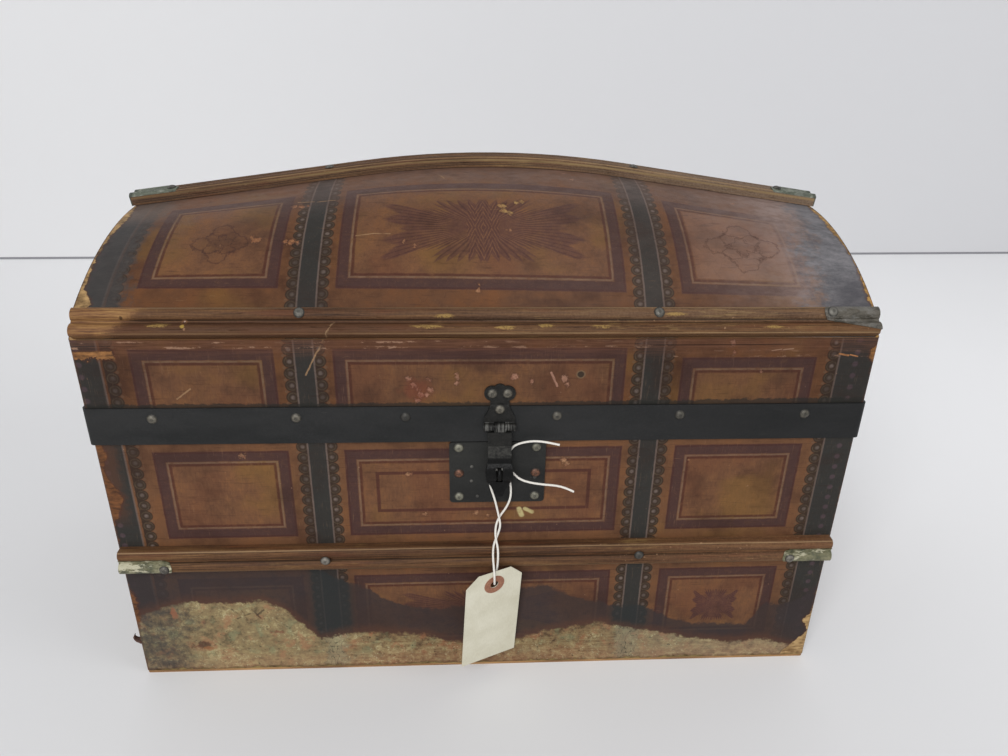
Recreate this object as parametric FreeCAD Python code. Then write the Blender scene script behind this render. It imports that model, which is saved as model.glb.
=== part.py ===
import FreeCAD, Part
import math
import os

from FreeCAD import Vector

# Dome top trunk, in millimetres. +X runs to the trunk's right, +Y to its back, +Z up.
# The origin is the centre of the underside.

# Boards
BODY_LENGTH = 406.0
BODY_DEPTH = 230.0
BODY_HEIGHT = 165.0
BOARD = 8.0
CORNER_RADIUS = 1.6
PAPER = 0.4
LINING = 0.3
LINING_GAP = 0.15        # under the dome, where the lining is pasted to a curved board
BARE_EDGE = 2.0          # strip of the bottom board that the paper leaves bare

# Lid: a rim of boards, and a dome bent over its arched ends
LID_OVERLAP = 0.5        # how far the lid's rim stands out past the body
RIM_HEIGHT = 53.3
DOME_BOARD = 4.0
SEAT_IN = 1.4            # from the rim's face to the foot of the dome
SEAT_RUN = 9.2           # flat strip at the foot of the dome that carries the slat
SEAT_RISE = 11.0
RIDGE_RISE = 53.9        # from the top of that strip to the highest point of the ridge
RIDGE_RADIUS = 560.0     # the ridge bends in the middle and runs straight to both ends
RIDGE_SLOPE = 8.0        # degrees, along those straight parts
RIDGE_TOP_X = 8.0        # the highest point is a little right of the middle

# Slats
SLAT_WIDTH = 14.4
SLAT_EDGE = 5.0
SLAT_CROWN = 6.6
SLAT_GROOVE = 1.3        # width of the groove between the two reeds
SLAT_GROOVE_DEPTH = 2.3
SLAT_OVERHANG = -1.3     # a straight slat's end past the body's end
TOP_SLAT_OVERHANG = 1.6
LOWER_SLAT_BOTTOM = 79.8
SLAT_GAP = 0.1
SLAT_NAIL_X = 88.8
LID_NAIL_X = (-91.8, 87.9)
TOP_NAIL_X = (-88.1, 91.1)
SLAT_NAIL_LENGTH = 10.5

# Stamped caps on the slats' ends
CAP_SHEET = 0.6
CAP_REACH = 28.3
CAP_FULL = 13.0          # how far in a ridge cap keeps its full width
CAP_TONGUE = 4.0         # radius of the tongue's round end
LOWER_CAP_EDGE = 1.4     # a lower cap ends this far above the slat's groove
LID_CAP_FULL = 15.7      # where the slanting edge of a lid cap turns, in from the end
LID_CAP_EDGES = (-2.5, -5.4)     # that edge's height there and at the end

# Band round the lid
BAND_SHEET = 1.0
BAND_HEIGHT = 21.0
BAND_LIP = 5.0
BAND_RETURN = 26.0
BAND_NAILS = (-170.5, -97.6, -41.3, 38.1, 103.7, 171.4)
BAND_NAIL_DROP = 6.0     # below the band's top
BAND_SIDE_NAIL_Y = 70.0

# Lock plate, staple and hasp
LOCK_X = 7.1
LOCK_WIDTH = 52.0
LOCK_HEIGHT = 38.0
LOCK_DROP = 5.7          # from the body's top edge to the plate
LOCK_SHEET = 1.2
LOCK_RADIUS = 2.0
LOCK_NAIL_DROPS = (3.3, 19.3, 34.1)     # below the plate's top
LOCK_NAIL_EDGE = 5.2     # in from the plate's sides
STAPLE_DROP = 15.8       # below the plate's top
STAPLE_PITCH = 6.0
STAPLE_WIRE = 2.2
STAPLE_REACH = 9.4
HASP_X = 7.8
HASP_SHEET = 1.2
HASP_WIDTH = 12.6
HASP_PIN_UP = 5.0        # from the body's top edge to the pin
HASP_RAMP_TOP = -10.4    # heights on the leaf, from the pin
HASP_RAMP_BOTTOM = -16.4
HASP_HEAD_TOP = -20.0
HASP_HEAD_BOTTOM = -31.5
HASP_TIP = -40.2
HASP_STEP = 2.0
HASP_HEAD_WIDTH = 14.6
HASP_BOSS = 2.0          # how far the head bulges in front of the leaf
HASP_SLOT_WIDTH = 3.9
HASP_SLOT_HEIGHT = 9.4
PLATE_FOOT = 16.0        # width and height of each part of the plate, from the pin
PLATE_FOOT_Z = 5.0
PLATE_NECK = 10.0
PLATE_NECK_Z = 11.0
PLATE_LOBE_X = 4.0
PLATE_LOBE_Z = 18.4
PLATE_LOBE_RADIUS = 4.2
PLATE_TOP = 23.7

# Knuckles of the hasp and of the lid's hinges
PIN_RADIUS = 1.0
PIN_CLEARANCE = 0.05
KNUCKLE_RADIUS = 2.2
KNUCKLE_GAP = 0.2
HASP_KNUCKLE = 17.0
HINGE_X = 118.0
HINGE_WIDTH = 24.0
HINGE_SHEET = 1.2
HINGE_LEAF = 25.0
HINGE_AXIS_OUT = 4.0     # from the body's back board to the pins' axis
HINGE_NAILS = ((-7.0, 14.5), (7.0, 14.5), (0.0, 20.5))     # across a leaf, and out along it
LID_STOP_ANGLE = 105.0
STOP_TAB = 9.0

# Handles on the two ends
HANDLE_Z = 108.0
HANDLE_WIDTH = 15.0
HANDLE_LEATHER = 2.6
HANDLE_SPAN = 96.0
HANDLE_FLAT = 17.0
HANDLE_BOW = 15.0
LOOP_SHEET = 0.8
LOOP_LENGTH = 13.0
LOOP_FLANGE = 7.0

# Nails
NAIL_HEAD = 2.75
NAIL_DOME = 1.3
NAIL_SHANK = 0.7
NAIL_LENGTH = 6.0

# Tag and its string
STRING_RADIUS = 0.6
KNOT = (12.2, -118.6, 144.0)
KNOT_RADIUS = 1.6
TAG_TOP = (6.2, -130.6, 84.0)
TAG_WIDTH = 35.0
TAG_HEIGHT = 70.0
TAG_CLIP = 7.4
TAG_CARD = 0.4
TAG_TURN = 24.4
TAG_LEAN = -6.0
TAG_HOLE_DOWN = 9.5
TAG_HOLE_RADIUS = 2.5
PATCH_RADIUS = 6.2
PATCH_SHEET = 0.2
TAG_STRING = [
    (11.2, -118.6, 143.6), (7.8, -118.6, 143.5), (4.3, -118.6, 142.8), (2.3, -118.9, 138.4),
    (3.4, -119.2, 132.6), (5.4, -119.2, 126.2), (6.9, -119.3, 119.8), (8.2, -119.9, 113.6),
    (9.2, -121.0, 108.6), (7.6, -122.0, 103.0), (5.3, -123.6, 97.6), (4.9, -125.6, 91.4),
    (5.3, -130.6, 87.0), (5.7, -132.4, 82.0), (5.8, -131.3, 75.2), (6.1, -128.0, 74.8),
    (6.9, -127.3, 81.0), (7.5, -127.6, 86.4), (7.8, -127.0, 91.8), (7.6, -125.4, 97.0),
    (6.2, -123.6, 102.6), (6.4, -120.6, 108.4), (8.8, -118.4, 113.2), (12.0, -118.6, 118.2),
    (14.4, -118.8, 124.4), (14.7, -118.8, 131.2), (13.6, -118.6, 137.6), (12.4, -118.6, 142.6),
]
UPPER_END = [
    (12.4, -118.5, 145.2), (12.9, -118.2, 149.6), (13.1, -118.0, 154.0), (15.4, -118.5, 158.0),
    (20.0, -120.0, 160.9), (26.0, -121.8, 162.8), (32.6, -123.4, 162.9), (39.2, -124.8, 161.9),
]
LOWER_END = [
    (13.5, -118.6, 143.4), (16.0, -118.8, 140.6), (19.4, -119.8, 137.6), (25.0, -121.2, 136.4),
    (31.6, -122.8, 136.2), (38.4, -124.2, 136.4), (43.6, -125.4, 135.6), (48.0, -126.6, 133.8),
]

# Places that follow from the sizes above
HALF_LENGTH = BODY_LENGTH / 2
HALF_DEPTH = BODY_DEPTH / 2
LID_HALF_LENGTH = HALF_LENGTH + LID_OVERLAP
LID_HALF_DEPTH = HALF_DEPTH + LID_OVERLAP
RIM_TOP = BODY_HEIGHT + RIM_HEIGHT
SHOULDER_Z = RIM_TOP + SEAT_RISE
RIDGE_Z = SHOULDER_Z + RIDGE_RISE
SEAT_ANGLE = math.degrees(math.atan2(SEAT_RISE, SEAT_RUN))
BODY_FACE = HALF_DEPTH + PAPER
LID_FACE = LID_HALF_DEPTH + PAPER
BAND_FACE = LID_FACE + BAND_SHEET
BAND_BOTTOM = BODY_HEIGHT - BAND_LIP
BAND_TOP = BAND_BOTTOM + BAND_HEIGHT
BAND_NAIL_Z = BAND_TOP - BAND_NAIL_DROP
LOCK_TOP = BODY_HEIGHT - LOCK_DROP
STAPLE_Z = LOCK_TOP - STAPLE_DROP
HASP_PIN_Y = -(BAND_FACE + KNUCKLE_RADIUS + KNUCKLE_GAP)
HASP_PIN_Z = BODY_HEIGHT + HASP_PIN_UP
HINGE_PIN_Y = HALF_DEPTH + HINGE_AXIS_OUT
STRAIGHT_SLAT_HALF = HALF_LENGTH + SLAT_OVERHANG
TOP_SLAT_HALF = LID_HALF_LENGTH + TOP_SLAT_OVERHANG
TALL = 1000.0            # taller than anything that it cuts

nodes = {}


def box(x0, x1, y0, y1, z0, z1):
    return Part.makeBox(x1 - x0, y1 - y0, z1 - z0, Vector(x0, y0, z0))


def rounded_prism(half_x, half_y, z0, z1, radius):
    prism = box(-half_x, half_x, -half_y, half_y, z0, z1)
    upright = [e for e in prism.Edges if abs(e.tangentAt(e.FirstParameter).z) > 0.9]
    return prism.makeFillet(radius, upright)


def rounded_plate(half_x, half_z, sheet, radius):
    """A sheet plate standing in the XZ plane, its back at y = 0 and its face at y = -sheet."""
    plate = box(-half_x, half_x, -sheet, 0, -half_z, half_z)
    edges = [e for e in plate.Edges if abs(e.tangentAt(e.FirstParameter).y) > 0.9]
    return plate.makeFillet(radius, edges)


def face_of(points_and_arcs):
    """A face from a list of edges that meet end to end."""
    return Part.Face(Part.Wire(points_and_arcs))


def line(a, b):
    return Part.LineSegment(Vector(*a), Vector(*b)).toShape()


def arc(a, middle, b):
    return Part.Arc(Vector(*a), Vector(*middle), Vector(*b)).toShape()


def polygon_face(points):
    corners = [Vector(*p) for p in points]
    return Part.Face(Part.makePolygon(corners + corners[:1]))


def mirrored_y(shape):
    return shape.mirror(Vector(0, 0, 0), Vector(0, 1, 0))


def mirrored_x(shape):
    return shape.mirror(Vector(0, 0, 0), Vector(1, 0, 0))


def moved(shape, x=0.0, y=0.0, z=0.0):
    out = shape.copy()
    out.translate(Vector(x, y, z))
    return out


def turned(shape, axis, degrees, centre=(0, 0, 0)):
    out = shape.copy()
    out.rotate(Vector(*centre), Vector(*axis), degrees)
    return out


def nail(length):
    """A domed nail with its head's flat side at the origin, driven in along -Z."""
    head, dome = NAIL_HEAD, NAIL_DOME
    sphere = (head**2 + dome**2) / (2 * dome)
    half = math.asin(head / sphere) / 2
    middle = (sphere * math.sin(half), 0, dome - sphere * (1 - math.cos(half)))
    outline = face_of([
        line((0, 0, 0), (0, 0, dome)),
        arc((0, 0, dome), middle, (head, 0, 0)),
        line((head, 0, 0), (0, 0, 0)),
    ])
    cap = outline.revolve(Vector(0, 0, 0), Vector(0, 0, 1), 360)
    shank = Part.makeCylinder(NAIL_SHANK, length, Vector(0, 0, -length))
    return cap.fuse(shank).removeSplitter()


def nail_at(point, outward, length=NAIL_LENGTH):
    placed = nail(length)
    turn = FreeCAD.Rotation(Vector(0, 0, 1), Vector(*outward))
    placed.Placement = FreeCAD.Placement(Vector(*point), turn)
    return placed


def front_nail(x, z, face):
    return nail_at((x, -face, z), (0, -1, 0))


# ---------------------------------------------------------------- body boards and paper

def make_body():
    outer = rounded_prism(HALF_LENGTH, HALF_DEPTH, 0, BODY_HEIGHT, CORNER_RADIUS)
    nodes["bottom_board"] = outer.common(
        box(-TALL, TALL, -TALL, TALL, 0, BOARD))
    front = box(-TALL, TALL, -HALF_DEPTH, -HALF_DEPTH + BOARD, BOARD, BODY_HEIGHT)
    nodes["front_board"] = outer.common(front)
    nodes["back_board"] = mirrored_y(nodes["front_board"])
    end = box(HALF_LENGTH - BOARD, HALF_LENGTH, -HALF_DEPTH + BOARD, HALF_DEPTH - BOARD,
              BOARD, BODY_HEIGHT)
    nodes["right_end_board"] = end
    nodes["left_end_board"] = mirrored_x(end)
    wrapped = rounded_prism(HALF_LENGTH + PAPER, HALF_DEPTH + PAPER, BARE_EDGE, BODY_HEIGHT,
                            CORNER_RADIUS + PAPER)
    nodes["body_cover"] = wrapped.cut(outer)
    inner_x, inner_y = HALF_LENGTH - BOARD, HALF_DEPTH - BOARD
    cavity = box(-inner_x, inner_x, -inner_y, inner_y, BOARD, BODY_HEIGHT)
    hollow = box(-inner_x + LINING, inner_x - LINING, -inner_y + LINING, inner_y - LINING,
                 BOARD + LINING, BODY_HEIGHT)
    nodes["body_lining"] = cavity.cut(hollow)


# ---------------------------------------------------------------- lid boards and paper

def ridge_z(x):
    """Height of the ridge above x: an arc, and its tangents to both ends."""
    slope = math.radians(RIDGE_SLOPE)
    off = abs(x - RIDGE_TOP_X)
    bend = RIDGE_RADIUS * math.sin(slope)
    on_arc = min(off, bend)
    arc_z = RIDGE_Z - RIDGE_RADIUS + math.sqrt(RIDGE_RADIUS**2 - on_arc**2)
    return arc_z - (off - on_arc) * math.tan(slope)


def dome_section(x, grow):
    """The dome's closed outline at x: a flat seat each side and one arc over the ridge."""
    tilt = math.radians(SEAT_ANGLE)
    shoulder_y = LID_HALF_DEPTH - SEAT_IN - SEAT_RUN + grow * math.sin(tilt)
    shoulder_z = SHOULDER_Z + grow * math.cos(tilt)
    foot_y = shoulder_y + (shoulder_z - RIM_TOP) / math.tan(tilt)
    ridge = (x, 0, ridge_z(x) + grow)
    left_foot, right_foot = (x, -foot_y, RIM_TOP), (x, foot_y, RIM_TOP)
    left, right = (x, -shoulder_y, shoulder_z), (x, shoulder_y, shoulder_z)
    return Part.Wire([
        line(left_foot, left), arc(left, ridge, right),
        line(right, right_foot), line(right_foot, left_foot),
    ])


def dome_solid(grow):
    """Everything under the dome's surface, down to the rim's top."""
    bend = RIDGE_RADIUS * math.sin(math.radians(RIDGE_SLOPE))
    steps = 12
    stations = [-LID_HALF_LENGTH] + [
        RIDGE_TOP_X + bend * (2 * i / steps - 1) for i in range(steps + 1)] + [LID_HALF_LENGTH]
    return Part.makeLoft([dome_section(x, grow) for x in stations], True, True)


def make_lid():
    outer = rounded_prism(LID_HALF_LENGTH, LID_HALF_DEPTH, BODY_HEIGHT, RIM_TOP, CORNER_RADIUS)
    front = box(-TALL, TALL, -LID_HALF_DEPTH, -LID_HALF_DEPTH + BOARD, BODY_HEIGHT, RIM_TOP)
    nodes["lid_front_rail"] = outer.common(front)
    nodes["lid_rear_rail"] = mirrored_y(nodes["lid_front_rail"])
    inner_x, inner_y = LID_HALF_LENGTH - BOARD, LID_HALF_DEPTH - BOARD
    filled = lid_space(LID_HALF_LENGTH, inner_y, DOME_BOARD)
    nodes["lid_right_end"] = filled.common(box(inner_x, LID_HALF_LENGTH, -TALL, TALL, 0, TALL))
    nodes["lid_left_end"] = filled.common(box(-LID_HALF_LENGTH, -inner_x, -TALL, TALL, 0, TALL))
    surface = dome_solid(0)
    nodes["lid_dome"] = surface.cut(dome_solid(-DOME_BOARD))
    nodes["dome_cover"] = dome_solid(PAPER).cut(surface)
    nodes["rim_cover"] = rim_cover(outer)
    depth = DOME_BOARD + LINING_GAP
    nodes["lid_lining"] = lid_space(inner_x, inner_y, depth).cut(
        lid_space(inner_x - LINING, inner_y - LINING, depth + LINING))


def lid_space(half_x, half_y, depth):
    """The hollow of the lid between its rails and ends, to this depth under the dome."""
    below = box(-half_x, half_x, -half_y, half_y, BODY_HEIGHT, RIM_TOP)
    vault = dome_solid(-depth).common(box(-half_x, half_x, -half_y, half_y, RIM_TOP, TALL))
    return below.fuse(vault).removeSplitter()


def rim_cover(outer):
    """Paper round the rim, with a piece up each arched end."""
    wrapped = rounded_prism(LID_HALF_LENGTH + PAPER, LID_FACE, BODY_HEIGHT, RIM_TOP,
                            CORNER_RADIUS + PAPER)
    ends = [Part.Face(dome_section(x, PAPER)).extrude(Vector(math.copysign(PAPER, x), 0, 0))
            for x in (-LID_HALF_LENGTH, LID_HALF_LENGTH)]
    return wrapped.cut(outer).fuse(ends).removeSplitter()


# ---------------------------------------------------------------- slats and their caps

def slat_profile(skin=0.0):
    """Two rounded reeds with a groove between them, flat at the back.

    It lies in the YZ plane: its back on y = 0, its face towards -Y, its width along Z.
    skin thickens the face, for the sheet of a cap."""
    half = SLAT_WIDTH / 2
    edge = SLAT_EDGE + skin
    crown = SLAT_CROWN + skin
    floor = SLAT_CROWN - SLAT_GROOVE_DEPTH + skin
    lip = SLAT_GROOVE / 2
    reed = (half + lip) / 2
    return face_of([
        line((0, 0, -half), (0, -edge, -half)),
        arc((0, -edge, -half), (0, -crown, -reed), (0, -floor, -lip)),
        line((0, -floor, -lip), (0, -floor, lip)),
        arc((0, -floor, lip), (0, -crown, reed), (0, -edge, half)),
        line((0, -edge, half), (0, 0, half)),
        line((0, 0, half), (0, 0, -half)),
    ])


def straight_run(face, x0, x1):
    return moved(face, x0).extrude(Vector(x1 - x0, 0, 0))


def cap_outline(end_x, tongue_z, full, edges):
    """The shape of a cap seen from its face, for a slat that lies along X.

    A round tongue lies on one reed. From there the cap widens to the first of its edges, `full`
    inwards of the end, and then to the second one at the end."""
    sign = math.copysign(1, end_x)
    tip_x = end_x - sign * (CAP_REACH - CAP_TONGUE)
    full_x = end_x - sign * full
    outer_x = end_x + sign * SLAT_WIDTH
    near = math.copysign(SLAT_WIDTH, tongue_z)
    radius = math.copysign(CAP_TONGUE, tongue_z)
    y = -SLAT_WIDTH
    outline = face_of([
        line((outer_x, y, near), (outer_x, y, edges[1])),
        line((outer_x, y, edges[1]), (end_x, y, edges[1])),
        line((end_x, y, edges[1]), (full_x, y, edges[0])),
        line((full_x, y, edges[0]), (tip_x, y, tongue_z - radius)),
        arc((tip_x, y, tongue_z - radius), (tip_x - sign * CAP_TONGUE, y, tongue_z),
            (tip_x, y, tongue_z + radius)),
        line((tip_x, y, tongue_z + radius), (full_x, y, near)),
        line((full_x, y, near), (outer_x, y, near)),
    ])
    return outline.extrude(Vector(0, 2 * SLAT_WIDTH, 0))


def slat_cap(end_x, tongue_z, full=CAP_FULL, edges=None):
    """A sheet cap that lies on the face of a slat along X and is folded down over its end."""
    if edges is None:
        edges = (-math.copysign(SLAT_WIDTH, tongue_z),) * 2
    sign = math.copysign(1, end_x)
    root, outer_end = end_x - sign * (CAP_REACH + 1), end_x + sign * CAP_SHEET
    shell = straight_run(slat_profile(CAP_SHEET), root, outer_end)
    core = straight_run(slat_profile(), root, end_x)
    return shell.cut(core).common(cap_outline(end_x, tongue_z, full, edges))


def cap_nail_x(end_x):
    return end_x - math.copysign(CAP_REACH - CAP_TONGUE, end_x)


def on_ridge(shape, side):
    """Carries a piece onto one straight part of the ridge, x = 0 at the end of the bend."""
    lift = RIDGE_Z + PAPER + SLAT_GAP
    upright = moved(turned(shape, (1, 0, 0), -90), x=RIDGE_TOP_X, z=lift)
    return turned(upright, (0, 1, 0), side * RIDGE_SLOPE, ridge_centre())


def ridge_centre():
    return (RIDGE_TOP_X, 0, RIDGE_Z - RIDGE_RADIUS)


def along_ridge(x, side):
    """How far x lies along that straight part."""
    slope = math.radians(RIDGE_SLOPE)
    bend = (RIDGE_RADIUS + PAPER + SLAT_GAP) * math.sin(slope)
    return (x - RIDGE_TOP_X - side * bend) / math.cos(slope)


def on_seat(shape):
    """Carries a piece from the slat's own place to the flat seat at the foot of the dome."""
    leaned = turned(shape, (1, 0, 0), SEAT_ANGLE - 90)
    tilt = math.radians(SEAT_ANGLE)
    lift = PAPER + SLAT_GAP
    seat_y = -LID_HALF_DEPTH + SEAT_IN + SEAT_RUN / 2 - lift * math.sin(tilt)
    seat_z = RIM_TOP + SEAT_RISE / 2 + lift * math.cos(tilt)
    return moved(leaned, y=seat_y, z=seat_z)


def on_body(shape):
    return moved(shape, y=-BODY_FACE, z=LOWER_SLAT_BOTTOM + SLAT_WIDTH / 2)


def slat_nail(x, z, skin=0.0):
    return nail_at((x, -SLAT_CROWN - skin, z), (0, -1, 0), SLAT_NAIL_LENGTH)


def make_slats():
    half = STRAIGHT_SLAT_HALF
    reed = (SLAT_WIDTH + SLAT_GROOVE) / 4
    straight = straight_run(slat_profile(), -half, half)
    nodes["front_lower_slat"] = on_body(straight)
    nodes["rear_lower_slat"] = mirrored_y(nodes["front_lower_slat"])
    nodes["lid_front_slat"] = on_seat(straight)
    nodes["lid_rear_slat"] = mirrored_y(nodes["lid_front_slat"])
    for side, end_x in (("left", -half), ("right", half)):
        lower_edges = (LOWER_CAP_EDGE, LOWER_CAP_EDGE)
        cap = on_body(slat_cap(end_x, -reed, CAP_REACH - CAP_TONGUE, lower_edges))
        nodes[f"front_lower_{side}_cap"] = cap
        nodes[f"rear_lower_{side}_cap"] = mirrored_y(cap)
        lid_cap = on_seat(slat_cap(end_x, reed, LID_CAP_FULL, LID_CAP_EDGES))
        nodes[f"lid_rear_{side}_cap"] = mirrored_y(lid_cap)
    nodes["lid_front_right_cap"] = lid_cap

    lower = [slat_nail(x, 0.0) for x in (-SLAT_NAIL_X, SLAT_NAIL_X)]
    lower += [slat_nail(cap_nail_x(x), -reed, CAP_SHEET) for x in (-half, half)]
    front = [on_body(n) for n in lower]
    nodes["lower_slat_nails"] = Part.makeCompound(front + [mirrored_y(n) for n in front])
    face = [slat_nail(x, reed) for x in LID_NAIL_X]
    right = slat_nail(cap_nail_x(half), reed, CAP_SHEET)
    seated = [on_seat(n) for n in face + [right]]
    rear = [mirrored_y(n) for n in seated] + [mirrored_y(mirrored_x(on_seat(right)))]
    nodes["lid_slat_nails"] = Part.makeCompound(seated + rear + make_top_slat(reed))


def make_top_slat(reed):
    """The slat over the ridge: bent in the middle, straight to both ends. Returns its nails."""
    slat = on_ridge(slat_profile(), -1).revolve(Vector(*ridge_centre()), Vector(0, 1, 0), 2 * RIDGE_SLOPE)
    nails = []
    for side, name, nail_x in ((-1, "left", TOP_NAIL_X[0]), (1, "right", TOP_NAIL_X[1])):
        end = along_ridge(side * TOP_SLAT_HALF, side)
        slat = slat.fuse(on_ridge(straight_run(slat_profile(), 0, end), side))
        nodes[f"lid_top_{name}_cap"] = on_ridge(slat_cap(end, -reed), side)
        nails.append(on_ridge(slat_nail(along_ridge(nail_x, side), -reed), side))
        nails.append(on_ridge(slat_nail(cap_nail_x(end), -reed, CAP_SHEET), side))
    nodes["lid_top_slat"] = slat.removeSplitter()
    return nails


# ---------------------------------------------------------------- band round the lid

def make_band():
    length = LID_HALF_LENGTH + PAPER
    radius = CORNER_RADIUS + PAPER
    outside = rounded_prism(length + BAND_SHEET, BAND_FACE, BAND_BOTTOM, BAND_TOP,
                            radius + BAND_SHEET)
    inside = rounded_prism(length, LID_FACE, BAND_BOTTOM, BAND_TOP, radius)
    ring = outside.cut(inside)
    gap = length - BAND_RETURN
    back = box(-gap, gap, 0, TALL, 0, TALL)
    back_lip = box(-TALL, TALL, HALF_DEPTH - BAND_LIP, TALL, 0, BODY_HEIGHT + KNUCKLE_GAP)
    nodes["lid_band"] = ring.cut(back).cut(back_lip)
    nails = [front_nail(x, BAND_NAIL_Z, BAND_FACE) for x in BAND_NAILS]
    side_x = length + BAND_SHEET
    for y in (-BAND_SIDE_NAIL_Y, BAND_SIDE_NAIL_Y):
        side = nail_at((side_x, y, BAND_NAIL_Z), (1, 0, 0))
        nails += [side, mirrored_x(side)]
    corner = nail_at((length - BAND_RETURN / 2, BAND_FACE, BAND_NAIL_Z), (0, 1, 0))
    nodes["lid_band_nails"] = Part.makeCompound(nails + [corner, mirrored_x(corner)])


# ---------------------------------------------------------------- lock plate and staple

def make_lock():
    plate = rounded_plate(LOCK_WIDTH / 2, LOCK_HEIGHT / 2, LOCK_SHEET, LOCK_RADIUS)
    plate = moved(plate, LOCK_X, -BODY_FACE, LOCK_TOP - LOCK_HEIGHT / 2)
    nodes["lock_plate"] = plate
    face = BODY_FACE + LOCK_SHEET
    reach = LOCK_WIDTH / 2 - LOCK_NAIL_EDGE
    nodes["lock_plate_nails"] = Part.makeCompound([
        front_nail(LOCK_X + side * reach, LOCK_TOP - drop, face)
        for drop in LOCK_NAIL_DROPS for side in (-1, 1)
    ])
    nodes["lock_staple"] = staple(face)


def staple(face):
    """A wire loop on edge: two legs driven through the plate, joined by a half round."""
    half = STAPLE_PITCH / 2
    root_y = -face + LOCK_SHEET
    bend_y = -face - STAPLE_REACH + half
    top, bottom = STAPLE_Z + half, STAPLE_Z - half
    path = Part.Wire([
        line((HASP_X, root_y, top), (HASP_X, bend_y, top)),
        arc((HASP_X, bend_y, top), (HASP_X, bend_y - half, STAPLE_Z), (HASP_X, bend_y, bottom)),
        line((HASP_X, bend_y, bottom), (HASP_X, root_y, bottom)),
    ])
    section = Part.Wire(Part.makeCircle(STAPLE_WIRE / 2, Vector(HASP_X, root_y, top), Vector(0, 1, 0)))
    return path.makePipeShell([section], True, False)


# ---------------------------------------------------------------- knuckles, for hasp and hinges

def knuckle(x0, x1):
    """A rolled barrel on the X axis with the pin's bore through it."""
    barrel = Part.makeCylinder(KNUCKLE_RADIUS, x1 - x0, Vector(x0, 0, 0), Vector(1, 0, 0))
    bore = Part.makeCylinder(PIN_RADIUS + PIN_CLEARANCE, x1 - x0, Vector(x0, 0, 0), Vector(1, 0, 0))
    return barrel, bore


def rolled(leaf, spans):
    """Joins a leaf to the barrels over the given spans, then bores them."""
    for x0, x1 in spans:
        leaf = leaf.fuse(knuckle(x0, x1)[0])
    for x0, x1 in spans:
        leaf = leaf.cut(knuckle(x0, x1)[1])
    return leaf.removeSplitter()


def thirds(width):
    """The outer two spans and the middle one of a three-part barrel."""
    third = width / 6
    outer = [(-width / 2, -third - KNUCKLE_GAP / 2), (third + KNUCKLE_GAP / 2, width / 2)]
    return outer, (-third + KNUCKLE_GAP / 2, third - KNUCKLE_GAP / 2)


def pin(width):
    return Part.makeCylinder(PIN_RADIUS, width, Vector(-width / 2, 0, 0), Vector(1, 0, 0))


# ---------------------------------------------------------------- hasp and its plate

def hasp_plate():
    """The three-lobed plate that is nailed to the lid and carries the hasp's pin.

    It is drawn round the pin: x from the hasp's middle, y and z from the pin's axis."""
    lobe_z, neck_z, foot_z = PLATE_LOBE_Z, PLATE_NECK_Z, PLATE_FOOT_Z
    top_radius = PLATE_LOBE_RADIUS * 0.85
    foot, neck = PLATE_FOOT / 2, PLATE_NECK / 2
    outline = polygon_face([
        (-foot, 0, 0), (foot, 0, 0), (foot, 0, foot_z), (neck, 0, neck_z), (neck, 0, lobe_z),
        (-neck, 0, lobe_z), (-neck, 0, neck_z), (-foot, 0, foot_z),
    ]).extrude(Vector(0, -TALL, 0))
    discs = [(-PLATE_LOBE_X, lobe_z, PLATE_LOBE_RADIUS), (PLATE_LOBE_X, lobe_z, PLATE_LOBE_RADIUS),
             (0, PLATE_TOP - top_radius, top_radius)]
    for x, z, radius in discs:
        outline = outline.fuse(
            Part.makeCylinder(radius, TALL, Vector(x, 0, z), Vector(0, -1, 0)))
    outline = moved(outline, y=TALL / 2)
    return outline.common(hasp_plate_side(PLATE_FOOT)).removeSplitter()


def hasp_plate_side(width):
    """The plate seen from its edge: flat on the band, then set back onto the paper above it."""
    on_band = -(BAND_FACE + HASP_PIN_Y)
    on_paper = -(LID_FACE + HASP_PIN_Y)
    step = BAND_TOP - HASP_PIN_Z
    top = PLATE_TOP
    return polygon_face([
        (-width, on_band, 0), (-width, on_band, step + KNUCKLE_GAP),
        (-width, on_paper, step + KNUCKLE_GAP + BAND_SHEET), (-width, on_paper, top),
        (-width, on_paper - HASP_SHEET, top), (-width, on_paper - HASP_SHEET, step + BAND_SHEET),
        (-width, on_band - HASP_SHEET, step), (-width, on_band - HASP_SHEET, 0),
    ]).extrude(Vector(2 * width, 0, 0))


def hasp_leaf():
    """The hanging leaf: a flat strap, a ramp out over the staple, a bulging head and a tip."""
    back, ramp = -KNUCKLE_RADIUS + HASP_SHEET, HASP_STEP
    ramp_top, ramp_bottom, tip = HASP_RAMP_TOP, HASP_RAMP_BOTTOM, HASP_TIP
    wide = HASP_HEAD_WIDTH
    lift = HASP_SHEET / 2
    front = back - ramp - HASP_SHEET
    side = polygon_face([
        (-wide, back, 0), (-wide, back, ramp_top), (-wide, back - ramp, ramp_bottom),
        (-wide, back - ramp, tip + HASP_STEP), (-wide, back - ramp - lift, tip),
        (-wide, front - lift, tip), (-wide, front, tip + HASP_STEP), (-wide, front, ramp_bottom),
        (-wide, back - HASP_SHEET, ramp_top), (-wide, back - HASP_SHEET, 0),
    ]).extrude(Vector(2 * wide, 0, 0))
    head_top, head_bottom = HASP_HEAD_TOP, HASP_HEAD_BOTTOM
    middle = (head_top + head_bottom) / 2
    boss = face_of([
        line((-wide, front, head_top), (-wide, front + lift, head_top)),
        line((-wide, front + lift, head_top), (-wide, front + lift, head_bottom)),
        line((-wide, front + lift, head_bottom), (-wide, front, head_bottom)),
        arc((-wide, front, head_bottom), (-wide, front - HASP_BOSS, middle),
            (-wide, front, head_top)),
    ]).extrude(Vector(2 * wide, 0, 0))
    return side.fuse(boss).common(hasp_outline()).removeSplitter()


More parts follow.
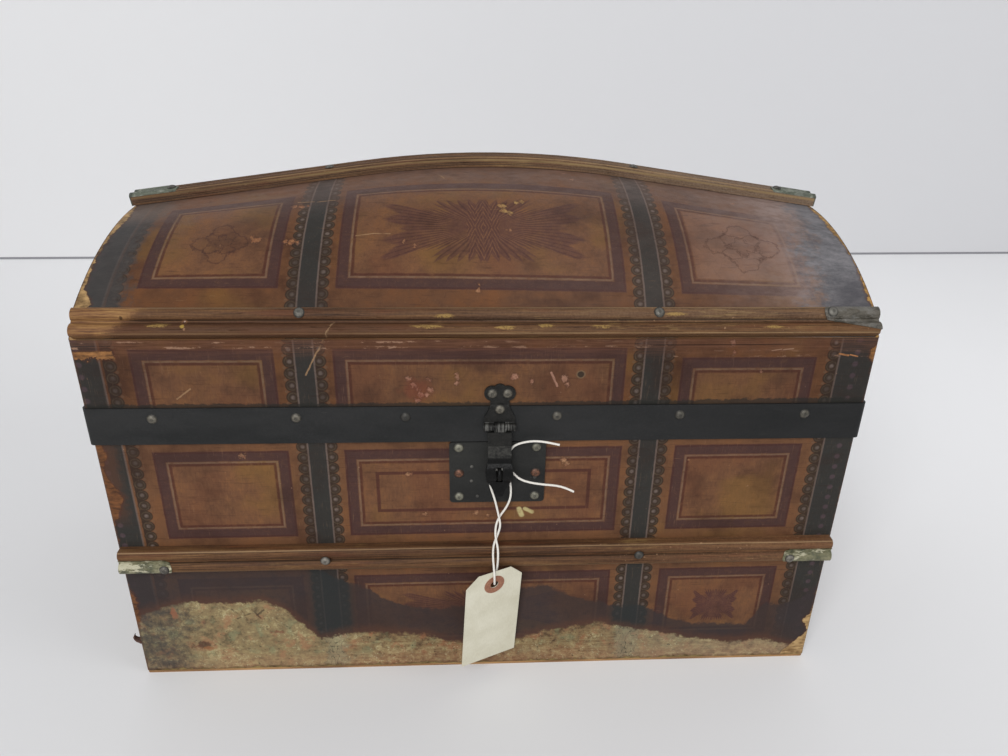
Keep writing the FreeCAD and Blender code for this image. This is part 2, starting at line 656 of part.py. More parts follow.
def hasp_outline():
    """The leaf seen from its face, with the slot for the staple."""
    half, head = HASP_WIDTH / 2, HASP_HEAD_WIDTH / 2
    head_top, head_bottom, tip = HASP_HEAD_TOP, HASP_HEAD_BOTTOM, HASP_TIP
    middle = (head_top + head_bottom) / 2
    point = HASP_SLOT_WIDTH / 2
    bulge = (head - half) / 2
    outline = face_of([
        line((-half, 0, 0), (half, 0, 0)),
        line((half, 0, 0), (half, 0, head_top)),
        arc((half, 0, head_top), (head, 0, middle), (half, 0, head_bottom)),
        arc((half, 0, head_bottom), (half / 2 + bulge, 0, (head_bottom + tip) / 2), (point, 0, tip)),
        line((point, 0, tip), (-point, 0, tip)),
        arc((-point, 0, tip), (-half / 2 - bulge, 0, (head_bottom + tip) / 2), (-half, 0, head_bottom)),
        arc((-half, 0, head_bottom), (-head, 0, middle), (-half, 0, head_top)),
        line((-half, 0, head_top), (-half, 0, 0)),
    ]).extrude(Vector(0, -TALL, 0))
    slot_z = STAPLE_Z - HASP_PIN_Z
    slot = box(-HASP_SLOT_WIDTH / 2, HASP_SLOT_WIDTH / 2, -TALL, 0,
               slot_z - HASP_SLOT_HEIGHT / 2, slot_z + HASP_SLOT_HEIGHT / 2)
    return moved(outline.cut(slot), y=TALL / 2)


def make_hasp():
    outer, middle = thirds(HASP_KNUCKLE)

    def place(shape):
        return moved(shape, HASP_X, HASP_PIN_Y, HASP_PIN_Z)

    clear = KNUCKLE_RADIUS + KNUCKLE_GAP
    plate = hasp_plate()
    notch = box(middle[0] - KNUCKLE_GAP, middle[1] + KNUCKLE_GAP, -clear, clear, -clear, clear)
    nodes["hasp_plate"] = place(rolled(plate.cut(notch), outer))
    leaf = hasp_leaf()
    for x0, x1 in outer:
        leaf = leaf.cut(box(x0 - TALL, x1, -clear, clear, -clear, clear) if x0 < 0 else
                        box(x0, x1 + TALL, -clear, clear, -clear, clear))
    nodes["hasp_leaf"] = place(rolled(leaf, [middle]))
    nodes["hasp_pin"] = place(pin(HASP_KNUCKLE))
    lobe_face = LID_FACE + HASP_SHEET
    lobe_z = HASP_PIN_Z + PLATE_LOBE_Z
    low_z = HASP_PIN_Z + PLATE_NECK_Z - NAIL_DOME
    nodes["hasp_plate_nails"] = Part.makeCompound([
        front_nail(HASP_X - PLATE_LOBE_X, lobe_z, lobe_face),
        front_nail(HASP_X + PLATE_LOBE_X, lobe_z, lobe_face),
        front_nail(HASP_X, low_z, BAND_FACE + HASP_SHEET),
    ])


# ---------------------------------------------------------------- hinges at the back

def hinge_leaf(wall_y, direction, spans):
    """One leaf, drawn round the pin: flat on its wall, with its barrels at the pin."""
    half = HINGE_WIDTH / 2
    near = KNUCKLE_RADIUS
    sheet = box(-half, half, wall_y, wall_y + HINGE_SHEET,
                min(0, direction * HINGE_LEAF), max(0, direction * HINGE_LEAF))
    far = [e for e in sheet.Edges if abs(e.tangentAt(e.FirstParameter).y) > 0.9
           and abs(e.CenterOfMass.z) > near]
    sheet = sheet.makeFillet(HINGE_WIDTH / 4, far)
    clear = near + KNUCKLE_GAP
    sheet = sheet.cut(box(-half, half, -clear, clear, -near, near))
    for x0, x1 in spans:
        web = box(x0, x1, wall_y, 0, min(0, direction * near), max(0, direction * near))
        sheet = sheet.fuse(web)
    return rolled(sheet, spans)


def stop_tab(span):
    """A tab on the upper leaf that lands on the lower leaf when the lid is right back."""
    tab = box(span[0], span[1], 0, STOP_TAB, -KNUCKLE_RADIUS, -KNUCKLE_RADIUS + HINGE_SHEET)
    return turned(tab, (1, 0, 0), LID_STOP_ANGLE - 90)


def make_hinges():
    outer, middle = thirds(HINGE_WIDTH)
    lower = hinge_leaf(BODY_FACE - HINGE_PIN_Y, -1, outer)
    upper = hinge_leaf(LID_FACE - HINGE_PIN_Y, 1, [middle])
    bore = knuckle(*middle)[1]
    upper = upper.fuse(stop_tab(middle)).cut(bore).removeSplitter()
    nails = {"lower": [], "upper": []}
    for side, x in (("left", -HINGE_X), ("right", HINGE_X)):
        nodes[f"{side}_hinge_lower_leaf"] = moved(lower, x, HINGE_PIN_Y, BODY_HEIGHT)
        nodes[f"{side}_hinge_upper_leaf"] = moved(upper, x, HINGE_PIN_Y, BODY_HEIGHT)
        for name, face, sign in (("lower", BODY_FACE, -1), ("upper", LID_FACE, 1)):
            for dx, dz in HINGE_NAILS:
                point = (x + dx, face + HINGE_SHEET, BODY_HEIGHT + sign * dz)
                nails[name].append(nail_at(point, (0, 1, 0)))
    nodes["hinge_pins"] = Part.makeCompound(
        [moved(pin(HINGE_WIDTH), x, HINGE_PIN_Y, BODY_HEIGHT) for x in (-HINGE_X, HINGE_X)])
    nodes["body_hinge_nails"] = Part.makeCompound(nails["lower"])
    nodes["lid_hinge_nails"] = Part.makeCompound(nails["upper"])


# ---------------------------------------------------------------- leather handles

def handle_strap():
    """A leather strap on the right end: flat at both ends, bowed out between them."""
    wall = HALF_LENGTH + PAPER
    half = HANDLE_SPAN / 2
    foot = half - HANDLE_FLAT
    inner, outer = HANDLE_BOW - HANDLE_LEATHER, HANDLE_BOW
    thick = HANDLE_LEATHER
    z = HANDLE_Z - HANDLE_WIDTH / 2

    def at(x, y):
        return (wall + x, y, z)

    outline = face_of([
        line(at(0, -half), at(0, -foot)),
        arc(at(0, -foot), at(inner, 0), at(0, foot)),
        line(at(0, foot), at(0, half)),
        line(at(0, half), at(thick, half)),
        line(at(thick, half), at(thick, foot)),
        arc(at(thick, foot), at(outer, 0), at(thick, -foot)),
        line(at(thick, -foot), at(thick, -half)),
        line(at(thick, -half), at(0, -half)),
    ])
    return outline.extrude(Vector(0, 0, HANDLE_WIDTH))


def handle_loop(y):
    """A stamped loop over one end of the strap, with a nailed flange above and below."""
    wall = HALF_LENGTH + PAPER
    strap_half = HANDLE_WIDTH / 2 + LOOP_SHEET / 2
    flange = strap_half + LOOP_FLANGE
    outside = box(wall, wall + HANDLE_LEATHER + LOOP_SHEET, y - LOOP_LENGTH / 2, y + LOOP_LENGTH / 2,
                  HANDLE_Z - strap_half - LOOP_SHEET, HANDLE_Z + strap_half + LOOP_SHEET)
    flanges = box(wall, wall + LOOP_SHEET, y - LOOP_LENGTH / 2, y + LOOP_LENGTH / 2,
                  HANDLE_Z - flange, HANDLE_Z + flange)
    inside = box(wall, wall + HANDLE_LEATHER, y - LOOP_LENGTH, y + LOOP_LENGTH,
                 HANDLE_Z - strap_half, HANDLE_Z + strap_half)
    return outside.fuse(flanges).cut(inside).removeSplitter()


def make_handles():
    strap = handle_strap()
    y = HANDLE_SPAN / 2 - HANDLE_FLAT / 2
    loops = [handle_loop(-y), handle_loop(y)]
    flange_z = HANDLE_WIDTH / 2 + LOOP_SHEET + LOOP_FLANGE / 2
    wall = HALF_LENGTH + PAPER + LOOP_SHEET
    nails = [nail_at((wall, sy * y, HANDLE_Z + sz * flange_z), (1, 0, 0))
             for sy in (-1, 1) for sz in (-1, 1)]
    nodes["right_handle_strap"] = strap
    nodes["left_handle_strap"] = mirrored_x(strap)
    nodes["right_handle_loops"] = Part.makeCompound(loops)
    nodes["left_handle_loops"] = Part.makeCompound([mirrored_x(loop) for loop in loops])
    nodes["handle_nails"] = Part.makeCompound(nails + [mirrored_x(n) for n in nails])


# ---------------------------------------------------------------- string and tag

def cord_tube(name, route, radius):
    """A round cord along straight runs joined by tangent arcs, as large as the runs allow."""
    points = [Vector(*p) for p in route]
    edges, radii = [], []
    here = points[0]
    for before, corner, after in zip(points, points[1:], points[2:]):
        back, ahead = before - corner, after - corner
        turn = math.pi - back.getAngle(ahead)
        reach = 0.45 * min(back.Length, ahead.Length)
        radii.append(reach / math.tan(turn / 2))
        back.normalize()
        ahead.normalize()
        start, stop = corner + back * reach, corner + ahead * reach
        inward = (back + ahead).normalize()
        middle = corner + inward * (radii[-1] / math.cos(turn / 2) - radii[-1])
        edges.append(Part.LineSegment(here, start).toShape())
        edges.append(Part.Arc(start, middle, stop).toShape())
        here = stop
    edges.append(Part.LineSegment(here, points[-1]).toShape())
    path = Part.Wire(edges)
    section = Part.Wire(Part.makeCircle(radius, points[0], points[1] - points[0]))
    tube = path.makePipeShell([section], True, False)
    share = tube.Volume / (math.pi * radius**2 * path.Length)
    print(f"{name}: {path.Length:.1f} long, radii {min(radii):.2f} to {max(radii):.2f}, "
          f"volume {share:.4f} of section times length")
    return tube


def tag_placement():
    turn = FreeCAD.Rotation(Vector(0, 0, 1), TAG_TURN)
    lean = FreeCAD.Rotation(Vector(1, 0, 0), -TAG_LEAN)
    return FreeCAD.Placement(Vector(*TAG_TOP), turn.multiply(lean))


def make_tag():
    """A card tag with two clipped corners and a round patch about its hole."""
    half = TAG_WIDTH / 2
    card = polygon_face([
        (-half + TAG_CLIP, 0, 0), (half - TAG_CLIP, 0, 0), (half, 0, -TAG_CLIP),
        (half, 0, -TAG_HEIGHT), (-half, 0, -TAG_HEIGHT), (-half, 0, -TAG_CLIP),
    ]).extrude(Vector(0, TAG_CARD, 0))
    centre = Vector(0, -TALL / 2, -TAG_HOLE_DOWN)
    hole = Part.makeCylinder(TAG_HOLE_RADIUS, TALL, centre, Vector(0, 1, 0))
    ring = Part.makeCylinder(PATCH_RADIUS, PATCH_SHEET, Vector(0, -PATCH_SHEET, -TAG_HOLE_DOWN),
                             Vector(0, 1, 0))
    for name, shape in (("tag", card.cut(hole)), ("tag_patch", ring.cut(hole))):
        shape.Placement = tag_placement()
        nodes[name] = shape
    nodes["tag_string"] = cord_tube("tag_string", TAG_STRING, STRING_RADIUS)
    nodes["tag_string_upper_end"] = cord_tube("tag_string_upper_end", UPPER_END, STRING_RADIUS)
    nodes["tag_string_lower_end"] = cord_tube("tag_string_lower_end", LOWER_END, STRING_RADIUS)
    knot = Part.makeSphere(KNOT_RADIUS, Vector(*KNOT))
    for name in ("tag_string", "tag_string_upper_end", "tag_string_lower_end"):
        knot = knot.cut(nodes[name])
    nodes["string_knot"] = knot


def main():
    make_body()
    make_lid()
    make_slats()
    make_band()
    make_lock()
    make_hasp()
    make_hinges()
    make_handles()
    make_tag()
    os.makedirs("parts", exist_ok=True)
    for name, shape in sorted(nodes.items()):
        shape.exportStep(os.path.join("parts", name + ".step"))
    print(len(nodes), "nodes")


main()
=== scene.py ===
# A small dome top trunk: a board box in printed paper, with wooden slats, a black sheet band
# round the lid, a hasp over a staple, and a blank tag on a string. Routes, meshes and finishes
# are worked out in millimetres of the shared frame; the camera and the lights are in metres.
import math

import bpy
from mathutils import Matrix, Vector


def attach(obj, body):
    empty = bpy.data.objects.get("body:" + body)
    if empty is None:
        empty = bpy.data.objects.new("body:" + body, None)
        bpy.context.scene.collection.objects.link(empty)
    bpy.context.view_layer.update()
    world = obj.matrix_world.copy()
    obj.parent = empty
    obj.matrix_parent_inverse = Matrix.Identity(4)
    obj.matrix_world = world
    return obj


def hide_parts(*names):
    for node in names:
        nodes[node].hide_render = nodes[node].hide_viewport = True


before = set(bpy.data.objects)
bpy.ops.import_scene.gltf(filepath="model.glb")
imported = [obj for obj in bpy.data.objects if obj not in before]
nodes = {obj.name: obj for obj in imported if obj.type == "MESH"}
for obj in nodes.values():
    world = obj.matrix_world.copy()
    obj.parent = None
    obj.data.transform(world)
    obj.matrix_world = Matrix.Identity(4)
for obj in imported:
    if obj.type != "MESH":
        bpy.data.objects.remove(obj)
scene = bpy.context.scene
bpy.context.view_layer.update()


# The view: from close in front of the trunk and above it, a little left of its middle. The
# camera looks down by 25 degrees and leans by a little over one.
CAMERA_AT = (-0.01239, -0.47897, 0.36788)
DOWN, TURNED, LEANS = math.radians(25.196), math.radians(3.487), math.radians(-1.154)
SENSOR, LENS = 36.0, 27.927


def placed(name, data):
    """A new object in the scene."""
    made = bpy.data.objects.new(name, data)
    scene.collection.objects.link(made)
    return made


ahead = Vector((math.sin(TURNED) * math.cos(DOWN), math.cos(TURNED) * math.cos(DOWN),
                -math.sin(DOWN)))
across = Vector((math.cos(TURNED), -math.sin(TURNED), 0))
below = ahead.cross(across)
right = across * math.cos(LEANS) + below * math.sin(LEANS)
below = below * math.cos(LEANS) - across * math.sin(LEANS)
camera = placed("camera", bpy.data.cameras.new("camera"))
camera.data.sensor_width, camera.data.lens = SENSOR, LENS
camera.matrix_world = Matrix.Translation(CAMERA_AT) @ Matrix(
    (right, -below, -ahead)).transposed().to_4x4()
scene.camera = camera


# The box: pine boards, planed and aged to a warm brown, nailed at the corners. They show along
# the bottom edge, and where the paper is torn.
def colour(code):
    """A maker's colour from its hex code, as the shader wants it."""
    parts = [int(code[i:i + 2], 16) / 255 for i in (0, 2, 4)]
    return [p / 12.92 if p <= 0.04045 else ((p + 0.055) / 1.055) ** 2.4 for p in parts] + [1]


class Shade:
    """A value on its way through a finish; sums on it add the nodes that work them out."""

    def __init__(self, finish, socket):
        self.finish, self.socket = finish, socket

    def maths(operation, turned=False):
        """A method that adds one maths node; turned puts the Shade itself last."""
        def method(self, *others):
            values = (*others, self) if turned else (self, *others)
            return self.finish.node("ShaderNodeMath", {"operation": operation},
                                    dict(enumerate(values)))
        return method

    __add__, __radd__ = maths("ADD"), maths("ADD", True)
    __sub__, __rsub__ = maths("SUBTRACT"), maths("SUBTRACT", True)
    __mul__, __mod__ = maths("MULTIPLY"), maths("FLOORED_MODULO")
    __truediv__, __rtruediv__ = maths("DIVIDE"), maths("DIVIDE", True)
    __lt__, __gt__, __abs__ = maths("LESS_THAN"), maths("GREATER_THAN"), maths("ABSOLUTE")
    least, most, root = maths("MINIMUM"), maths("MAXIMUM"), maths("SQRT")
    sine, cosine, arcsine = maths("SINE"), maths("COSINE"), maths("ARCSINE")
    bearing = maths("ARCTAN2")

    def rises(self, low, high):
        """0 below low, 1 above high, and a soft step between (high under low turns it round)."""
        if low > high:
            return 1 - self.rises(high, low)
        return self.finish.node("ShaderNodeMapRange", {"interpolation_type": "SMOOTHSTEP"},
                                {"Value": self, "From Min": low, "From Max": high})

    def near(self, place, width, soft):
        """1 within soft of the place, and 0 beyond width of it."""
        return abs(self - place).rises(width, soft)

    def span(self, other):
        """How far away a point is that lies this far one way and other the other way."""
        return (self * self + other * other).root()

    def teeth(self, start, pitch):
        """A zigzag: 0 at start and at every pitch from it, 0.5 halfway between."""
        return abs(((self - start) / pitch + 0.5) % 1 - 0.5)


class Finish:
    """One named material. here is the place on the piece in millimetres, base the colour that
    has been built up so far."""

    def __init__(self, name, **constants):
        self.material = bpy.data.materials.new(name)
        self.material.use_nodes = True
        self.tree = self.material.node_tree
        self.shader = self.tree.nodes["Principled BSDF"]
        for socket, value in constants.items():
            self.shader.inputs[socket.replace("_", " ")].default_value = value
        place = self.node("ShaderNodeTexCoord", output="Object")
        self.here = self.node("ShaderNodeVectorMath", {"operation": "SCALE"},
                              {0: place, "Scale": 1000})
        self.x, self.y, self.z = self.parts(self.here)

    def node(self, kind, settings=None, values=None, output=0):
        """Adds one node and returns one of its outputs."""
        made = self.tree.nodes.new(kind)
        for name, setting in (settings or {}).items():
            setattr(made, name, setting)
        for socket, value in (values or {}).items():
            self.give(made.inputs[socket], value)
        return Shade(self, made.outputs[output])

    def give(self, socket, value):
        if isinstance(value, Shade):
            self.tree.links.new(value.socket, socket)
        else:
            socket.default_value = colour(value) if isinstance(value, str) else value

    def parts(self, vector):
        split = self.node("ShaderNodeSeparateXYZ", values={0: vector}).socket.node
        return [Shade(self, output) for output in split.outputs]

    def stretched(self, by):
        """The place, drawn out along each axis whose factor is under 1."""
        return self.node("ShaderNodeVectorMath", {"operation": "MULTIPLY"}, {0: self.here, 1: by})

    def noise(self, size, detail=3.0, roughness=0.5, stretch=None):
        """Cloudy variation from 0 to 1 whose patches are about size millimetres across."""
        return self.node("ShaderNodeTexNoise", values={
            "Vector": self.stretched(stretch) if stretch else self.here,
            "Scale": 1 / size, "Detail": detail, "Roughness": roughness})

    def cells(self, scale, stretch=(1, 1, 1)):
        """The distance from the edges of a net of uneven cells."""
        return self.node("ShaderNodeTexVoronoi", {"feature": "DISTANCE_TO_EDGE"},
                         {"Vector": self.stretched(stretch), "Scale": scale})

    def mixed(self, part, first, second):
        """First where part is 0, second where it is 1."""
        return self.node("ShaderNodeMix", {"data_type": "RGBA"}, {0: part, 6: first, 7: second},
                         output=2)

    def tint(self, part, shade):
        """Lays a colour over the base where part is 1."""
        self.base = self.mixed(part, self.base, shade)

    def ramp(self, part, *stops):
        """From stop to stop, a colour or a height: (place, colour or height) each."""
        made = self.node("ShaderNodeValToRGB", values={0: part})
        elements = made.socket.node.color_ramp.elements
        while len(elements) < len(stops):
            elements.new(1)
        for element, (place, shade) in zip(elements, stops):
            element.position = place
            element.color = colour(shade) if isinstance(shade, str) else [shade] * 3 + [1]
        return made

    def finished(self, roughness=None, height=None, depth=0.0001):
        """Joins colour, roughness and relief to the shader; depth is the relief's in metres."""
        self.give(self.shader.inputs["Base Color"], self.base)
        if roughness is not None:
            self.give(self.shader.inputs["Roughness"], roughness)
        if height is not None:
            self.give(self.shader.inputs["Normal"], self.node(
                "ShaderNodeBump", values={"Height": height, "Distance": depth, "Strength": 1.0}))
        return self.material


def dressed(material, *names):
    """Gives the frame's own pieces their finish."""
    for name in names:
        for slot in nodes[name].material_slots:
            slot.material = material


def pine_finish():
    finish = Finish("aged pine", Roughness=0.7)
    grain = finish.noise(1.6, 6, 0.6, (0.05, 0.6, 1.0))
    finish.base = finish.ramp(grain, (0.3, "5e4126"), (0.5, "8f6a41"), (0.7, "b08a5a"))
    finish.tint(finish.noise(40).rises(0.4, 0.7) * 0.5, "6b4a2c")
    return finish.finished(height=grain, depth=0.0002)


dressed(pine_finish(), "bottom_board", "front_board", "back_board", "left_end_board",
        "right_end_board", "lid_front_rail", "lid_rear_rail", "lid_left_end", "lid_right_end",
        "lid_dome")


# The lining: plain off-white paper pasted inside the box and the lid. It is foxed, creased where
# it was smoothed down, and rubbed.
def lining_finish():
    finish = Finish("lining paper", Roughness=0.85)
    foxing = finish.noise(26, 5, 0.6)
    spots = finish.noise(5, 5, 0.7).rises(0.6, 0.74)
    specks = finish.noise(1.6).rises(0.68, 0.74) * foxing.rises(0.4, 0.6)
    creases = finish.noise(70).near(0.5, 0.012, 0.002)
    fibres = finish.noise(0.8, 4, 0.7, (1, 1, 0.2))
    finish.base = finish.ramp(foxing, (0.3, "b5a68a"), (0.5, "c3b69c"), (0.7, "a69271"))
    finish.tint(spots * 0.35, "8f7350")
    finish.tint(specks * 0.5, "6f5237")
    finish.tint(creases * 0.35, "7d6a4e")
    return finish.finished(height=fibres + foxing * 3 - creases, depth=0.0003)


dressed(lining_finish(), "body_lining", "lid_lining")


# The body's cover: stiff paper printed to look like leather with nailed straps, three panels to a
# side in two rows, pasted over the boards and varnished. It is rubbed and chipped, black with
# damp low down, mouldy along the foot and torn at the corners.
HALF_LENGTH = 203.4
STRAP_CENTRE = 88.75        # the two printed straps on a side, from its middle
STRAP_HALF = 5.0            # the black strip between a strap's two rows of studs
STRAP_LINE = 4.85
STRAP_SHEAR = 0.0135        # the print was laid a little out of true
STUD_PITCH = 6.72
STUD_OFF = 7.45             # each row of printed studs, from its strap's middle
STUD_DISC, STUD_RING = 3.45, 2.5
END_ROW, END_STRAP, END_DOTS = 184.2, 189.0, 199.2
SIDE_PANEL, SIDE_PANEL_HALF = 139.1, 35.4
MIDDLE_PANEL_HALF = 74.6
EDGE_IN, BAND_IN, LINE_IN, DARK_FROM, DARK_TO = 0.6, 6.05, 6.8, 7.3, 8.8
BODY_ROWS = ((127.4, 27.7), (44.3, 27.2))       # middle and half height
INNER_HALF, INNER_MIDDLE, INNER_TALL = 58.7, 128.0, 13.0
END_BURST, BURST_MIDDLE = 140, 43.6
UNTORN = 90                 # added to a distance, keeps a tear off a face


class Cover(Finish):
    """Printed paper; along and up are the millimetres across it and the way its straps run."""

    def __init__(self, name):
        super().__init__(name, Roughness=0.5, Specular_IOR_Level=0.1)
        facing = self.parts(self.node("ShaderNodeTexCoord", output="Normal"))[0]
        self.on_end = abs(facing) > 0.7
        self.off_end = 1 - self.on_end
        self.along = self.x + self.on_end * (self.y - self.x)
        self.up = self.z
        self.clouds = self.noise(28, 4)
        self.mottle = self.noise(7, 5, 0.6)
        self.specks = self.noise(1.4, 3, 0.6)
        self.ragged = self.noise(4, 4, 0.65) - 0.5
        self.wear = self.noise(3.2, 5, 0.7)
        self.tints = self.noise(42)
        self.base = self.ramp(self.mottle * 0.4 + self.clouds * 0.6,
                              (0.3, "462c1e"), (0.5, "593b27"), (0.7, "674228"))
        self.tint(self.tints.rises(0.55, 0.72) * 0.4, "705228")

    def curve(self, run, line, low, high):
        """The height at run of a line drawn through (run, height) points from low to high."""
        length = high - low
        return self.ramp((run - low) / length, *[((at - low) / length, height / 100)
                                                 for at, height in line]) * 100

    def side_depth(self):
        """How far inside a panel's left or right edge the point is."""
        middle = MIDDLE_PANEL_HALF - abs(self.along)
        return middle.most(SIDE_PANEL_HALF - abs(abs(self.along) - SIDE_PANEL))

    def panels(self, depth):
        """A panel's field, its wide band, its pale line and its thin dark line."""
        depth = depth + self.ragged * 0.7
        weave = self.noise(1.3, 3, 0.6, (1.0, 1.0, 0.35))
        field = self.ramp(self.mottle * 0.35 + self.clouds * 0.35 + weave * 0.3,
                          (0.34, "53392a"), (0.5, "634430"), (0.66, "724e33"))
        field = self.mixed(self.tints.rises(0.5, 0.68) * 0.45, field, "71542a")
        field = self.mixed(self.tints.rises(0.48, 0.34) * 0.35, field, "5e3929")
        self.tint(depth.rises(-0.3, 0.3), field)
        faded = self.wear.rises(0.72, 0.45)
        band = self.mixed(self.clouds * 0.6 + self.mottle * 0.4, "392726", "4a342e")
        in_band = depth.rises(-0.5, 0.5) * depth.rises(BAND_IN + 0.45, BAND_IN - 0.45)
        self.tint(in_band * (faded * 0.2 + 0.8), band)
        self.tint(depth.near(EDGE_IN, 0.8, 0.3) * 0.4, "3d1e1b")
        self.tint(depth.near(LINE_IN, 0.85, 0.2) * faded * (0.25 + self.mottle * 0.6), "6d5a4b")
        in_dark = (depth.rises(DARK_FROM - 0.3, DARK_FROM + 0.3)
                   * depth.rises(DARK_TO + 0.5, DARK_TO - 0.5))
        self.tint(in_dark * (0.5 + faded * 0.35), "44261f")

    def studs(self, off, up):
        """A row of ringed studs on scalloped discs; off is the distance from the row's middle,
        away from the strap."""
        step = abs(up % STUD_PITCH - STUD_PITCH / 2)
        away = off.span(step)
        disc = away.rises(STUD_DISC + 0.35, STUD_DISC - 0.35).most(off.near(-1.2, 2.4, 1.6))
        self.tint(disc * 0.9, self.mixed(self.mottle, "231c18", "312822"))
        fleck = (off - 2.9).span(STUD_PITCH / 2 - step)
        self.tint(fleck.rises(1.2, 0.5) * 0.4, "64503f")
        ring = (away + self.ragged * 0.5).near(STUD_RING, 0.6, 0.1)
        self.tint(ring * self.wear.rises(0.3, 0.6) * 0.55, "514637")
        self.tint(away.rises(2.0, 1.5) * 0.35, "41372f")
        shine = self.mixed(self.clouds.rises(0.4, 0.6), "4f4640", "6d6059")
        self.tint(away.rises(1.6, 0.5) * (0.3 + self.wear.rises(0.35, 0.65) * 0.6), shine)

    def straps(self, up):
        """Both straps and the half strap at each end, which starts further in on the right."""
        side = self.along > 0
        out = abs(self.along)
        off = abs(out - STRAP_CENTRE)
        skew = up - self.along * STRAP_SHEAR
        self.studs(off - STUD_OFF, skew)
        strip = self.mixed(self.wear * 0.5 + self.clouds * 0.5, "232422", "383532")
        self.tint(off.rises(STRAP_HALF + 0.3, STRAP_HALF - 0.3), strip)
        line = (off + self.ragged * 0.5).near(STRAP_LINE, 0.65, 0.25)
        self.tint(line * (0.45 + self.mottle * 0.6), "64564f")
        self.studs(END_ROW - side - out, skew + 1)
        inside = out - (END_STRAP - side * 2.6)
        self.tint(inside.rises(-0.3, 0.3), strip)
        gap = out - (END_DOTS - side * 3.6)
        dots = gap.span(abs(skew % STUD_PITCH - STUD_PITCH / 2))
        self.tint(dots.rises(2.0, 1.0) * 0.65, "4c3d42")
        self.tint(abs(inside).rises(0.7, 0.3) * 0.6, "64564f")

    def burst(self, across, up, strength=1.0):
        """A printed sunburst in the square from -1 to 1 each way: long flames to both sides, a fan
        of narrow leaves above and below, and three columns of nested chevrons in the middle."""
        across = across + self.ragged * 0.03
        wide, tall = abs(across), abs(up)
        reach = wide.most(tall)
        lean = wide.least(tall) / reach
        sideways = wide > tall
        flame = lean.teeth(0.35, 0.5) * 0.3 + lean.rises(0.3, 0.1) * 0.08
        leaf = lean.teeth(0.03, 0.115) * 0.5 + lean.rises(0.55, 0.66) * 0.3
        edge = 0.98 - leaf - sideways * (flame - leaf)
        body = ((reach - edge + self.ragged * 0.08).rises(0.05, -0.04)
                * (0.7 + self.wear.rises(0.65, 0.4) * 0.3))
        self.tint(body * 0.68 * strength, self.mixed(self.mottle, "40292a", "543731"))
        ray = abs(lean / (0.115 + sideways * 0.03) % 1 - 0.5) * 2
        faded = 0.35 + self.wear.rises(0.35, 0.65) * 0.65
        light = ray.rises(0.55, 0.95) * reach.rises(0.12, 0.25) * body * reach.rises(0.8, 0.4)
        self.tint(light * 0.65 * faded, "7a5540")
        self.tint(ray.rises(0.4, 0.1) * body * 0.45 * strength, "331f1f")
        column = across.teeth(0, 0.165)
        nested = (tall + column * 0.98).teeth(0.0555, 0.185) * 2
        inner = ((wide + tall * 0.02).rises(0.175, 0.155)
                 * (tall + column * 0.5).rises(1.0, 0.94))
        self.tint(inner * 0.55, "4a302b")
        self.tint(inner * nested.rises(0.45, 0.95) * 0.62 * faded, "7c563c")

    def quatrefoil(self, across, up, strength):
        """A four-lobed ornament of thin crossing lines in the square from -1 to 1."""
        across, up = across + self.ragged * 0.45, up + (self.mottle - 0.5) * 0.55
        away = across.span(up)
        lobes = (up.bearing(across) * 4).cosine()
        worn = strength * (0.25 + self.wear.rises(0.3, 0.6) * 0.4)
        for size, swell, width in ((0.78, 0.17, 0.06), (0.5, -0.16, 0.05), (0.3, 0.13, 0.05)):
            self.tint(away.near(size + lobes * swell, width, width * 0.2) * worn, "36221f")

    def chips(self, shade, *places):
        """Small flakes of the print lost down to the board: (along, up, radius) each."""
        spot = self.node("ShaderNodeCombineXYZ", values={
            0: self.along + self.ragged * 7, 1: self.up + (self.noise(2.3, 4, 0.7) - 0.5) * 7,
            2: 0.0})
        nearest = None
        for along, up, radius in places:
            gap = self.node("ShaderNodeVectorMath", {"operation": "DISTANCE"},
                            {0: spot, 1: (along, up, 0)}, output="Value") - radius
            nearest = gap if nearest is None else nearest.least(gap)
        lost = nearest.rises(0.7, -0.4) * self.off_end
        self.tint(nearest.rises(1.6, 0.2) * self.off_end * 0.3, "3a211b")
        shade = self.mixed(self.specks.rises(0.42, 0.62) * 0.6, shade, "7c4a39")
        self.tint(lost * (0.3 + self.wear.rises(0.3, 0.6) * 0.5), shade)
        return lost

    def rubbed(self):
        """Scratches, rubbed patches and lost specks all over."""
        scratch = self.noise(0.9, 4, 0.7, (0.05, 0.05, 1.0)).rises(0.66, 0.72)
        self.tint(scratch * self.clouds.rises(0.52, 0.62) * 0.3, "8d6c4c")
        self.tint(self.noise(0.7, 3, 0.7, (1.0, 1.0, 0.08)).rises(0.58, 0.75) * 0.16, "98795c")
        self.tint(self.noise(0.8, 3, 0.7, (0.06, 0.06, 1.0)).rises(0.55, 0.7) * 0.3, "2c1c17")
        self.tint(self.clouds.rises(0.5, 0.3) * 0.3, "322019")
        split = self.cells(0.13, (1.0, 1.0, 0.7)).rises(0.03, 0.01)
        self.tint(split * self.wear.rises(0.45, 0.6) * 0.16, "2a1a15")
        self.tint(self.noise(2.6, 2).rises(0.76, 0.8) * 0.5, "8f6f59")

    def torn(self, inside, shade="7c5735", deep="3a271b"):
        """Paper gone along an edge; inside is the distance from it."""
        inside = inside + self.ragged * 6 + (self.clouds - 0.5) * 5
        lost = inside.rises(0.7, 0.0)
        self.tint(inside.rises(2.2, 0.4) * 0.45, "4a2a1d")
        wood = self.noise(1.6, 4, 0.6, (0.3, 0.3, 1.0))
        self.tint(lost * 0.95, self.ramp(wood * 0.6 + self.mottle * 0.4,
                                         (0.36, deep), (0.6, shade)))
        return lost

    def from_edge(self, side, line, top):
        """The distance from the left (-1) or the right (1) edge, less the width that a line of
        (up, width) points has torn off it."""
        return HALF_LENGTH - self.x * side - self.curve(self.up, line, 0, top)

